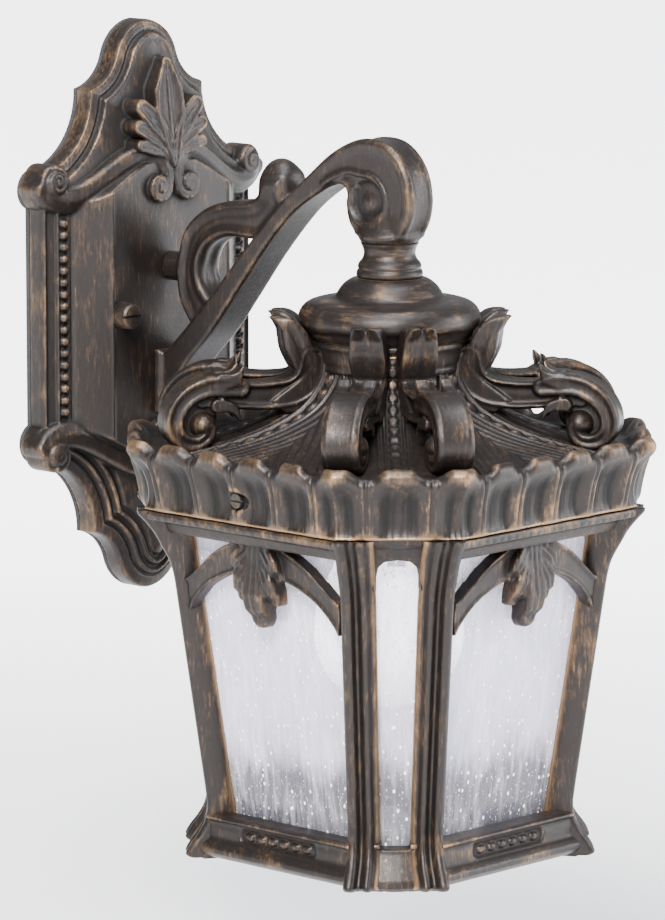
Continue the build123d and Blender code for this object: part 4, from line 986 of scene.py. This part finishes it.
def scroll_field(step):
    """The scroll's cast shape in its hip plane: low corner of the grid and the field."""
    au = np.arange(27.5, 96.5, step)
    av = np.arange(20.0, 79.0, step)
    ax = np.arange(0, 9.6, step)
    u, v = np.meshgrid(au, av, indexing="ij")
    across = ax[:, None, None]

    stem_line = smooth_line([(33.0, 58.0), (34.5, 50.5), (40.5, 45.6), (50.0, 44.2), (60.0, 44.4),
                             (66.0, 45.0)], 8)
    gap, share = stroke(stem_line, u, v)
    inset = profile(share, [(0, 5.4), (0.2, 6.0), (0.5, 5.6), (1, 5.2)]) - gap
    thick = profile(inset, [(0, 5.6), (0.8, 6.8), (1.5, 6.6), (2.3, 5.2), (3.2, 4.8), (6, 5.0)])
    crown = 0.3 * bump(across - 5.4, 1.3) - 0.5 * ramp(across, 4.8, 1.0)
    stem = blend_max(flat(-inset) - crown, (across - flat(thick)) * 0.85, 1.0)

    band_line = smooth_line([(62.5, 47.5), (69.0, 48.6), (77.0, 48.3), (84.2, 44.8), (88.8, 38.8),
                             (89.6, 32.6), (86.4, 27.6), (80.6, 26.3), (76.2, 28.8), (75.2, 32.0)], 8)
    gap, share = stroke(band_line, u, v)
    inset = profile(share, [(0, 3.6), (0.10, 4.3), (0.3, 4.2), (0.6, 3.9), (0.8, 3.2), (1, 2.6)]) - gap
    thick = profile(inset, [(0, 6.2), (0.8, 7.4), (1.6, 7.5), (3.0, 6.9), (6, 6.5)])
    crown = 0.2 * bump(across - 5.9, 1.5) - 0.2 * ramp(across, 5.0, 1.0)
    band = blend_max(flat(-inset) - crown, (across - flat(thick)) * 0.9, 1.2)

    web = np.hypot(u - 82.0, v - 36.0) - 10.5
    web = np.maximum(flat(web), across - 2.4)
    ball = np.sqrt(flat((u - 77.4) ** 2 + (v - 33.2) ** 2) / 5.7 ** 2 + (across / 8.0) ** 2) * 5.7 - 5.7

    tips = []
    for points, width in (([(70.0, 50.5), (66.0, 51.0), (63.4, 53.2), (62.0, 56.4)], 2.7),
                          ([(72.0, 41.0), (67.6, 40.4), (64.6, 38.2), (63.4, 35.0)], 2.3)):
        gap, share = stroke(smooth_line(points, 6), u, v)
        half = width * np.interp(share, [0, 0.5, 1], [1.2, 0.9, 0.15])
        shell = np.abs(across - np.interp(share, [0, 1], [4.5, 5.2])[None]) - 2.6
        tips.append(blend_max(flat(gap - half), shell, 1.0))
    neck = outline([(70.5, 41.5), (70, 47), (78, 46), (82, 42), (78, 40)], u, v)
    neck = np.maximum(flat(neck), across - 4.2)

    leaf_line = smooth_line([(33.4, 50.0), (35.6, 56.5), (38.4, 62.0), (40.2, 67.0), (42.8, 71.2),
                             (47.2, 74.0), (50.2, 74.6)], 8)
    gap, share = stroke(leaf_line, u, v)
    half = np.interp(share, [0, 0.25, 0.5, 0.68, 0.84, 1], [4.6, 5.6, 5.4, 4.4, 3.0, 1.0])
    fork = 1.1 * ramp(share, 0.55, 1.0)
    split = ramp(across, 1.7, 0.1) * flat(0.25 + 3.0 * ramp(share, 0.72, 0.95))
    cup = 0.5 * ramp(across, 5.5, 0.0)
    side = np.interp(share, [0, 0.2, 0.45, 0.8, 1], [5.6, 6.8, 7.4, 6.4, 3.6])
    leaf = blend_max(flat(gap - half + fork) + split + cup, (across - flat(side)) * 0.9, 1.6)
    leaf = leaf + 0.35 * bump(flat(gap), 1.6) * ramp(across, 5.5, 7.0)

    root = outline([(28, 37.0), (44, 36.9), (50.0, 42.0), (36.0, 52.0), (30.5, 60.0), (28, 60)], u, v)
    root = blend_max(flat(root), across - 6.2, 1.0)
    field = blend_min(stem, leaf, 1.2)
    field = blend_min(field, root, 1.0)
    field = blend_min(field, band, 0.7)
    for extra, fillet in ((web, 0.8), (ball, 0.5), (tips[0], 0.8), (tips[1], 0.8), (neck, 0.8)):
        field = blend_min(field, extra, fillet)
    return skin(mirrored(field), (-ax[-1], au[0], av[0]), step)


def build_scrolls(sizes, material):
    """The eight cast scrolls on the roof's hips."""
    points, quads = scroll_field(0.5)
    points = np.stack([points[:, 1], -points[:, 0], points[:, 2]], 1)
    made = []
    for angle in HIPS:
        name = scroll_name(angle)
        piece = make_mesh(f"{name}_cast", lantern_frame(turned_about(points, angle), sizes), quads)
        if made:
            copy_relief(made[0], piece)
        else:
            mark_relief(piece, 3, 30)
        made.append(fit_piece(piece, "fixture", "bronze_roof", material, name))
    return made


# ---------------------------------------------------------------- cage
CAGE_LOW, CAGE_HIGH = -142.0, -0.45
POST_SECTION = [(1.8, -9.6), (0.5, -7.5), (-0.4, -4.0), (-0.7, -1.2), (-0.2, 0.3), (0.7, 1.1), (1.9, 1.3),
                (3.0, 0.7), (3.8, -0.5), (4.6, -1.5), (5.5, -1.5), (6.2, -0.7), (6.9, 0.6), (7.8, 1.3),
                (8.8, 1.1), (9.6, 0.1), (10.4, -1.0), (11.4, -1.6)]
POST_SPREAD = [(-142, 1.18), (-134, 1.12), (-124, 1.0), (-22, 1.0), (-10, 1.06), (0, 1.12)]
WIDE_RIM = [(-10.5, 78.2), (-9.0, 78.9), (-7.8, 79.6), (-5.6, 80.6), (-4.6, 82.2), (-4.0, 85.6),
            (-2.2, 86.4), (0, 86.4)]
WIDE_RAIL = [(-143, 63.4), (-141.6, 64.6), (-140.6, 66.6), (-139.0, 68.2), (-137.0, 68.0), (-135.4, 66.6),
             (-134.4, 65.4), (-133.4, 64.8), (-130.0, 64.6), (-127.6, 64.2), (-126.8, 64.5), (-125.8, 65.5),
             (-124.9, 65.2), (-124.2, 63.2)]
NARROW_RIM = [(-16, 86.6), (-12, 87.3), (-8, 88.8), (-4.5, 91.4), (-2.4, 94.4), (-0.4, 95.2)]
NARROW_RAIL = [(-143, 75.4), (-141.4, 77.6), (-138.6, 77.0), (-134, 74.4), (-129, 71.8), (-127.6, 71.6),
               (-126.6, 72.6), (-125.4, 72.5), (-124.6, 71.0)]
NARROW_WINDOW = [(-5.7, -127.2), (5.7, -127.2), (8.2, -16.5), (7.4, -12.6), (5.0, -10.2), (0, -9.4),
                 (-5.0, -10.2), (-7.4, -12.6), (-8.2, -16.5)]
RAIL_BEADS = -130.6
ARCH_TOP = [(52, -31.5), (41, -27.5), (33.0, -21.6), (24.0, -14.6), (13.0, -9.2), (6, -6)]
ARCH_LOW = [(6, -20.6), (11, -21.6), (20.0, -24.4), (29.5, -29.2), (37.0, -36.0), (42.5, -44.0), (52, -54)]
LEAF_LOBES = [([(0, -7), (4.2, -11.5), (8.2, -16.0), (10.8, -20.6)], [3.4, 3.8, 4.4, 2.6], 5.0),
              ([(0, -8), (3.4, -16.5), (6.8, -24.0), (9.0, -30.2)], [3.2, 3.7, 4.4, 2.7], 6.2),
              ([(0, -8), (0, -19.0), (0, -29.0), (0, -38.0)], [3.8, 4.2, 5.6, 4.6], 7.4)]
UPSTAND = [(81.9, -2.2), (81.9, 4.0), (81.9, 13.4), (81.3, 14.0), (80.0, 14.0), (79.6, 13.4), (79.6, 4.0),
           (79.6, -2.2)]


def post_half(h):
    """Half width of the cage on the straight line of its posts."""
    return 78.3 + 0.123 * h


def post_line():
    """Outside of the posts from the feet to the tips, as (half width, height)."""
    foot = smooth_line([(70.0, CAGE_LOW), (71.2, -140.9), (71.0, -139.4), (69.4, -136.4), (66.8, -132.4),
                        (64.8, -128.2), (63.8, -124.0), (63.6, -120.0)], 5)
    tip = smooth_line([(post_half(-30), -30.0), (post_half(-26) + 0.2, -26.0), (post_half(-21) + 0.9, -21.0),
                       (79.6, -14.5), (82.0, -9.5), (85.0, -5.0), (87.2, -2.2), (87.6, -1.2),
                       (87.6, CAGE_HIGH)], 5)
    shaft = np.arange(-113.0, -33.0, 5.0)
    return np.vstack([foot, np.stack([post_half(shaft), shaft], 1), tip])


def narrow_half(h):
    """Half width of a narrow window."""
    return np.interp(h, [-128.0, -13.0], [5.7, 8.2])


def build_posts(sizes, material):
    """The cage's eight moulded posts with their flared tips and feet."""
    front = smooth_line(POST_SECTION, 4)
    all_points, all_quads, caps, rings = [], [], [], []
    for w, h in post_line():
        base = post_half(h)
        width = CUT / math.sqrt(2) * base - narrow_half(h)
        spread = profile(h, POST_SPREAD)
        grow = 1 + 0.10 * ramp(h, -14, -2)
        q = front[:, 0] * spread * width / 13.0
        p = front[:, 1] * grow
        tail_q = np.array([width * spread - 0.4, width * spread, width * spread - 0.3, width * spread - 2.0])
        tail_p = np.array([-2.4, -4.0, -7.0, -9.6])
        q = np.concatenate([q, tail_q])
        p = np.concatenate([p, tail_p])
        flare = (w - base) * NARROW
        back = ramp(p, -2.0, -9.0)
        p = p - back * flare
        along = -CUT / math.sqrt(2) * w + q
        out = w * NARROW + p
        rings.append(np.stack([out, along, np.full_like(out, h)], 1))
    rings = np.array(rings)
    points, quads = swept(rings)
    caps_here = [np.arange(rings.shape[1])[::-1], len(points) - rings.shape[1] + np.arange(rings.shape[1])]
    offset = 0
    for side in (45, 135, 225, 315):
        for mirror in (1, -1):
            all_points.append(turned_about(points * (1, mirror, 1), side))
            flip = 1 if mirror > 0 else -1
            all_quads.append(quads[:, ::flip] + offset)
            caps += [cap[::flip] + offset for cap in caps_here]
            offset += len(points)
    piece = make_mesh("cage_posts", lantern_frame(np.vstack(all_points), sizes), np.vstack(all_quads), caps)
    mark_relief(piece, 2, 14)
    return fit_piece(piece, "cage", "bronze_cage", material, "cage_frame")


def side_field(wide, step):
    """One side of the cage between its posts: rim, rail and, on a wide side, the arch and its leaf."""
    ratio = 1.0 if wide else NARROW
    reach = 54.0 if wide else 24.0
    at = np.arange(0, reach, step)
    ah = np.arange(CAGE_LOW - 1.2, 0.6, step)
    ad = np.arange(52.0 if wide else 60.0, 96.0 if not wide else 89.5, step)
    t, h = np.meshgrid(at, ah, indexing="ij")
    depth = ad[None, :, None]

    base = post_half(h) * ratio
    if wide:
        teeth = 0.28 * bump(((t / 4.3) % 1.0 - 0.5) * 4.3, 1.7) * ramp(h, -4.4, -3.4) * ramp(h, -1.1, -1.9)
        sunk = ramp(np.hypot(np.maximum(t - 18.4, 0) / 2.6, (h - RAIL_BEADS) / 2.7), 1.12, 0.86)
        nearest = np.clip(np.round(t / 6.2 - 0.5), 0, 2) * 6.2 + 3.1
        bead = np.hypot((t - nearest) / 2.5, (h - RAIL_BEADS) / 1.75)
        rail = profile(h, WIDE_RAIL) - 1.1 * sunk + 1.5 * bump(bead ** 1.5, 1.0)
        front = np.where(h > -60, profile(h, WIDE_RIM) + teeth, rail)
        solid_h = np.minimum(np.abs(h + 5.0) - 4.6, np.abs(h + 133.2) - 8.8)
        mitre = layer(t) - 0.6 * depth
    else:
        front = np.where(h > -60, np.minimum(profile(h, NARROW_RIM), base + 12), profile(h, NARROW_RAIL))
        front = front - 0.8 * ramp(t, 1.0, 9.0)
        front = front - 3.0 * ramp(t, 8.6, 11.5) * ramp(h, -131.0, -128.5) * ramp(h, -12.0, -15.0)
        window = outline(NARROW_WINDOW, t, h)
        solid_h = np.maximum(-window, np.minimum(-(h + 22.0), h + 124.5))
        mitre = layer(t) - 0.25 * depth
    back = base - 8.0 * (1.0 if wide else 0.98)
    back = np.where(h < -133.0, base - 13.0, back)
    body = blend_max(depth - layer(front), layer(back) - depth, 0.3)
    body = blend_max(body, layer(solid_h), 0.9)
    field = np.maximum(body, mitre + 0.02)
    if wide:
        arch = outline(np.vstack([smooth_line(ARCH_TOP, 5), smooth_line(ARCH_LOW, 5)]), t, h)
        face = base - 0.6 - 0.9 * ramp(-arch, 0.4, 2.4)
        bar = blend_max(layer(arch), depth - layer(face), 1.0)
        bar = np.maximum(bar, layer(base - 7.0) - depth)
        bar = np.maximum(bar, layer(t) - layer(0.6 * base - 5.2) - (depth - layer(base - 8.0)) * 0.3)
        field = blend_min(field, bar, 0.8)
        leaf = None
        for points, widths, proud in LEAF_LOBES:
            gap, along = stroke(smooth_line(points, 6), t, h)
            half = np.interp(along, [0, 0.35, 0.72, 1], widths)
            n = np.clip(gap / half, 0, 1)
            swell = profile(along, [(0, 0.4), (0.3, 0.6), (0.7, 1.0), (0.9, 0.9), (1, 0.5)]) * proud
            top = base + swell - 1.4 - 1.3 * (1 - n ** 2) + 0.6 * bump(gap, 0.8) - 1.7 * n ** 6
            lobe = blend_max(layer(gap - half), depth - layer(top), 1.2)
            lobe = np.maximum(lobe, layer(base - 4.5) - depth)
            leaf = lobe if leaf is None else blend_min(leaf, lobe, 0.4)
        field = blend_min(field, leaf, 0.5)
    points, quads = skin(mirrored(field), (-at[-1], ad[0], ah[0]), step)
    return np.stack([points[:, 1], points[:, 0], points[:, 2]], 1), quads[:, ::-1]


def build_cage_sides(sizes, material):
    """The cage's rims, rails, arches and hanging leaves, and the upstand inside the roof."""
    made = []
    for wide, sides in ((True, (0, 90, 180, 270)), (False, (45, 135, 225, 315))):
        points, quads = side_field(wide, 0.62 if wide else 0.6)
        first = None
        for side in sides:
            spots = lantern_frame(turned_about(points, side), sizes)
            piece = make_mesh(f"cage_side_{SIDE_NAMES[side]}", spots, quads)
            if first:
                copy_relief(first, piece)
            else:
                mark_relief(piece, 3, 28)
                first = piece
            made.append(fit_piece(piece, "cage", "bronze_cage", material, "cage_frame"))
    angle, ratio, share, half = octagon_rings(60, 30)
    rows = []
    for w, h in UPSTAND:
        notch = (ratio < 1.01) & (np.abs(np.sin(angle)) < 0.1) & (np.abs(share * half * w) < 2.6)
        level = np.where(notch, np.minimum(h, 7.2), h)
        row = octagon_points(np.full_like(share, w), 0.0, angle, ratio, share, half, 0 * share)
        row[:, 2] = level
        rows.append(row)
    points, quads = swept(rows, close_along=True)
    piece = make_mesh("cage_upstand", lantern_frame(points, sizes), quads)
    mark_relief(piece, 2, 8)
    made.append(fit_piece(piece, "cage", "bronze_cage", material, "cage_frame"))
    return made


# ---------------------------------------------------------------- panes
PANE_LOW, PANE_HIGH = -132.9, -5.2
SEEDS, SEEDS_NARROW = 420, 160


def build_panes(sizes, material):
    """Eight seeded panes, slightly wavy, with raised bubbles on both faces."""
    rng = np.random.default_rng(7)
    made = []
    for side, side_name in SIDE_NAMES.items():
        wide = side % 90 == 0
        share = 1 - CUT if wide else CUT / math.sqrt(2)
        ratio = 1.0 if wide else NARROW
        columns, rows = (92, 140) if wide else (34, 140)
        s, level = np.meshgrid(np.linspace(-1, 1, columns), np.linspace(PANE_LOW, PANE_HIGH, rows),
                               indexing="ij")
        half = share * post_half(level) - 11 * math.tan(math.radians(22.5)) - 0.62
        across = s * half
        seeds = rng.uniform((-50, PANE_LOW, 0.35, 0.8), (50, PANE_HIGH, 0.95, 2.2), (SEEDS, 4))
        faces = []
        for sign, inset in ((1, 8.02), (-1, 10.98)):
            wave = (0.05 * np.sin(level / 9 + across / 7 + side)
                    + 0.04 * np.sin(level / 4.3 - across / 5 + 2 * side))
            bubbles = np.zeros_like(level)
            for x, z, r, stretch in seeds[:SEEDS if wide else SEEDS_NARROW]:
                if sign < 0:
                    x = -x
                near = np.hypot(across - (x if wide else x * 0.3), (level - z) / stretch)
                bubbles = np.maximum(bubbles, 0.30 * bump(near, r + 0.5))
            out = post_half(level) * ratio - inset - sign * 0.10 + sign * (wave * 0.5 - bubbles * 0.4)
            faces.append(np.stack([out, across, level], -1))
        a = faces[0].reshape(-1, 3)
        b = faces[1].reshape(-1, 3)
        _, quads = swept(faces[0], close_around=False)
        n = len(a)
        border = np.concatenate([np.arange(rows), np.arange(1, columns) * rows + rows - 1,
                                 (columns - 1) * rows + np.arange(rows - 2, -1, -1),
                                 np.arange(columns - 2, 0, -1) * rows])
        ahead = np.roll(border, -1)
        rim = np.stack([border, ahead, ahead + n, border + n], 1)
        points = np.vstack([a, b])
        all_quads = np.vstack([quads, quads[:, ::-1] + n, rim[:, ::-1]])
        points = lantern_frame(turned_about(points, side), sizes)
        piece = make_mesh(f"pane_{side_name}_seeded", points, all_quads)
        made.append(fit_piece(piece, "cage", "seeded_glass", material, f"pane_{side_name}"))
    return made


# ---------------------------------------------------------------- operators
def sizes_and_colours(context):
    """The scene's sizes and colours."""
    return context.scene.lantern_sizes, context.scene.lantern_colours


CASTINGS = {"bronze_plate": ("z", 1.0, 1.0), "bronze_arm": ("z", 0.9, 0.7), "bronze_roof": ("z", 1.0, 1.0),
            "bronze_cage": ("z", 1.1, 1.5), "bronze_dome": ("xy", 0.9, 1.3)}
METALS = {"dark_hardware": ((0.018, 0.015, 0.013), (0.07, 0.045, 0.027), 0.42, 0.6),
          "plated_steel": ((0.55, 0.56, 0.58), (0.36, 0.36, 0.38), 0.30),
          "brass_parts": ((0.78, 0.58, 0.27), (0.52, 0.37, 0.18), 0.28),
          "bulb_wire": ((0.60, 0.60, 0.62), (0.40, 0.40, 0.42), 0.35),
          "ground_green": ((0.05, 0.32, 0.10), (0.12, 0.40, 0.16), 0.35, 0.6)}
SOFT_MATTER = {"porcelain": ((0.86, 0.85, 0.81), (0.80, 0.79, 0.75), 0.0012, 0.22, 0.00005),
               "gasket_foam": ((0.010, 0.010, 0.011), (0.018, 0.018, 0.020), 0.0008, 0.9, 0.0003)}


def finish_material(name, colours):
    """The finish of that name, made once."""
    made = bpy.data.materials.get(f"{name}_finish")
    if made:
        return made
    if name in CASTINGS:
        return bronze(name, colours, *CASTINGS[name])
    if name in METALS:
        return plain_metal(name, *METALS[name])
    if name in SOFT_MATTER:
        return soft_matter(name, *SOFT_MATTER[name])
    return seeded_glass(colours) if name == "seeded_glass" else frosted_bulb(colours)


class PieceOperator:
    """What every operator that builds castings or glass shares: its finish and its builders"""
    finish = ""
    builders = ()

    def execute(self, context):
        sizes, colours = sizes_and_colours(context)
        material = finish_material(self.finish, colours)
        for build in self.builders:
            build(sizes, material)
        return {"FINISHED"}


class LANTERN_OT_wall_plate(PieceOperator, bpy.types.Operator):
    """Builds the cast wall plate with its crown ornament"""
    bl_idname = "lantern.wall_plate"
    bl_label = "Wall plate"
    finish = "bronze_plate"
    builders = (build_plate,)


class LANTERN_OT_arm(PieceOperator, bpy.types.Operator):
    """Builds the cast arm with its scroll head and C scroll"""
    bl_idname = "lantern.arm"
    bl_label = "Arm"
    finish = "bronze_arm"
    builders = (build_arm,)


class LANTERN_OT_dome(PieceOperator, bpy.types.Operator):
    """Builds the turned dome cap and neck ring"""
    bl_idname = "lantern.dome"
    bl_label = "Dome and neck ring"
    finish = "bronze_dome"
    builders = (build_dome,)


class LANTERN_OT_roof(PieceOperator, bpy.types.Operator):
    """Builds the cast roof with its petal cornice and collar"""
    bl_idname = "lantern.roof"
    bl_label = "Roof"
    finish = "bronze_roof"
    builders = (build_roof,)


class LANTERN_OT_scrolls(PieceOperator, bpy.types.Operator):
    """Builds the eight scrolls on the roof's hips"""
    bl_idname = "lantern.scrolls"
    bl_label = "Roof scrolls"
    finish = "bronze_roof"
    builders = (build_scrolls,)


class LANTERN_OT_cage(PieceOperator, bpy.types.Operator):
    """Builds the cage: posts, rims, rails, arches and leaves"""
    bl_idname = "lantern.cage"
    bl_label = "Cage"
    finish = "bronze_cage"
    builders = (build_posts, build_cage_sides)


class LANTERN_OT_panes(PieceOperator, bpy.types.Operator):
    """Builds the eight seeded panes"""
    bl_idname = "lantern.panes"
    bl_label = "Panes"
    finish = "seeded_glass"
    builders = (build_panes,)


class LANTERN_OT_small_parts(bpy.types.Operator):
    """Gives the bulb, lampholder, screws and fixings their finishes"""
    bl_idname = "lantern.small_parts"
    bl_label = "Bulb and small parts"

    def execute(self, context):
        _, colours = sizes_and_colours(context)
        slots = {s["node"]: s["material_slot"] for s in frame["record"]["subparts"]}
        for name, node in frame["nodes"].items():
            if node.hide_render:
                continue
            material = finish_material(slots[name], colours)
            node.data.materials.clear()
            node.data.materials.append(material)
            for face in node.data.polygons:
                face.material_index = 0
        return {"FINISHED"}


class LANTERN_OT_stage(bpy.types.Operator):
    """Sets the floor, the soft lights and the camera"""
    bl_idname = "lantern.stage"
    bl_label = "Stage"

    def execute(self, context):
        set_stage(context)
        return {"FINISHED"}


class LANTERN_PT_panel(bpy.types.Panel):
    """Lists the lantern's pieces"""
    bl_label = "Lantern"
    bl_idname = "LANTERN_PT_panel"
    bl_space_type = "VIEW_3D"
    bl_region_type = "UI"
    bl_category = "Lantern"

    def draw(self, context):
        for operator in PIECES:
            self.layout.operator(operator.bl_idname)
        for group in (context.scene.lantern_sizes, context.scene.lantern_colours):
            for name in group.__annotations__:
                self.layout.prop(group, name)


PIECES = (LANTERN_OT_wall_plate, LANTERN_OT_arm, LANTERN_OT_dome, LANTERN_OT_roof, LANTERN_OT_scrolls,
          LANTERN_OT_cage, LANTERN_OT_panes, LANTERN_OT_small_parts, LANTERN_OT_stage)
CLASSES = (LanternSizes, LanternColours, *PIECES, LANTERN_PT_panel)


# ---------------------------------------------------------------- stage
FLOOR_LEVEL = -330.0
FLOOR_HALF = 6000.0
CAMERA_TURN, CAMERA_TILT = -46.54, 9.27
CAMERA_AWAY = 2.197
# name, spot, target, size, power, colour
LIGHTS = [("key", (-1.5, -1.1, 1.3), (0, -0.13, -0.05), (0.6, 0.6), 190, (1.0, 0.98, 0.96)),
          ("fill", (1.4, -1.5, 0.5), (0, -0.13, -0.08), (0.7, 1.2), 60, (0.90, 0.94, 1.0)),
          ("top", (-0.1, -0.4, 1.6), (0, -0.12, 0.0), (0.8, 0.8), 50, (0.90, 0.94, 1.0))]


def add_light(name, spot, target, size, power, colour):
    """A soft rectangular light that faces the lantern."""
    data = bpy.data.lights.new(name, "AREA")
    data.shape = "RECTANGLE"
    data.size, data.size_y = size
    data.energy = power
    data.color = colour
    light = bpy.data.objects.new(name, data)
    bpy.context.scene.collection.objects.link(light)
    light.location = spot
    light.rotation_euler = (Vector(target) - Vector(spot)).to_track_quat("-Z", "Y").to_euler()


def set_stage(context):
    """Plain pale floor, soft light from all round and the camera."""
    paint = Paint("pale_floor")
    grain = paint.noise(0.02)
    away = paint.node("ShaderNodeVectorMath", {"operation": "LENGTH"}, {0: paint.place()}, "Value")
    shader = paint.surface(
        Base_Color=paint.mix(grain, (0.90, 0.90, 0.90), (0.93, 0.93, 0.93)), Roughness=0.8,
        Emission_Color=paint.mix(paint.between(away, 0.35, 1.6), (0.0, 0.0, 0.0), (1.0, 1.0, 1.0)),
        Emission_Strength=4.0,
        Normal=paint.raised(grain, 0.0002, 0.1))
    material = paint.finish(shader)
    side = np.linspace(-FLOOR_HALF, FLOOR_HALF, 24)
    gx, gy = np.meshgrid(side, side, indexing="ij")
    points, quads = swept(np.stack([gx, gy, np.full_like(gx, FLOOR_LEVEL)], -1), close_around=False)
    floor = make_mesh("floor", points, quads)
    floor.data.materials.append(material)
    world = bpy.data.worlds.new("soft_sky")
    context.scene.world = world
    world.use_nodes = True
    world.node_tree.nodes["Background"].inputs["Color"].default_value = (0.95, 0.96, 1.0, 1)
    world.node_tree.nodes["Background"].inputs["Strength"].default_value = 0.6
    for light in LIGHTS:
        add_light(*light)
    a, e = math.radians(CAMERA_TURN), math.radians(CAMERA_TILT)
    back = Vector((math.sin(a) * math.cos(e), -math.cos(a) * math.cos(e), math.sin(e)))
    right = Vector((math.cos(a), math.sin(a), 0))
    up = back.cross(right)
    sizes = context.scene.lantern_sizes
    target = Vector((0, -sizes.reach, sizes.parting))
    data = bpy.data.cameras.new("camera")
    data.sensor_width = 36
    data.lens = 215.2
    data.clip_start, data.clip_end = 0.05, 60
    camera = bpy.data.objects.new("camera", data)
    context.scene.collection.objects.link(camera)
    camera.rotation_mode = "QUATERNION"
    camera.location = target + CAMERA_AWAY * back - 0.0227 * right + 0.0152 * up
    camera.rotation_quaternion = Matrix((right, up, back)).transposed().to_quaternion()
    context.scene.camera = camera


def register():
    """Adds the lantern's properties, operators and panel."""
    for item in CLASSES:
        bpy.utils.register_class(item)
    bpy.types.Scene.lantern_sizes = bpy.props.PointerProperty(type=LanternSizes)
    bpy.types.Scene.lantern_colours = bpy.props.PointerProperty(type=LanternColours)


def unregister():
    """Takes them away again."""
    del bpy.types.Scene.lantern_colours
    del bpy.types.Scene.lantern_sizes
    for item in reversed(CLASSES):
        bpy.utils.unregister_class(item)


def main():
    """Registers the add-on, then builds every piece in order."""
    register()
    for operator in PIECES:
        group, name = operator.bl_idname.split(".")
        getattr(getattr(bpy.ops, group), name)()


if __name__ == "__main__":
    main()
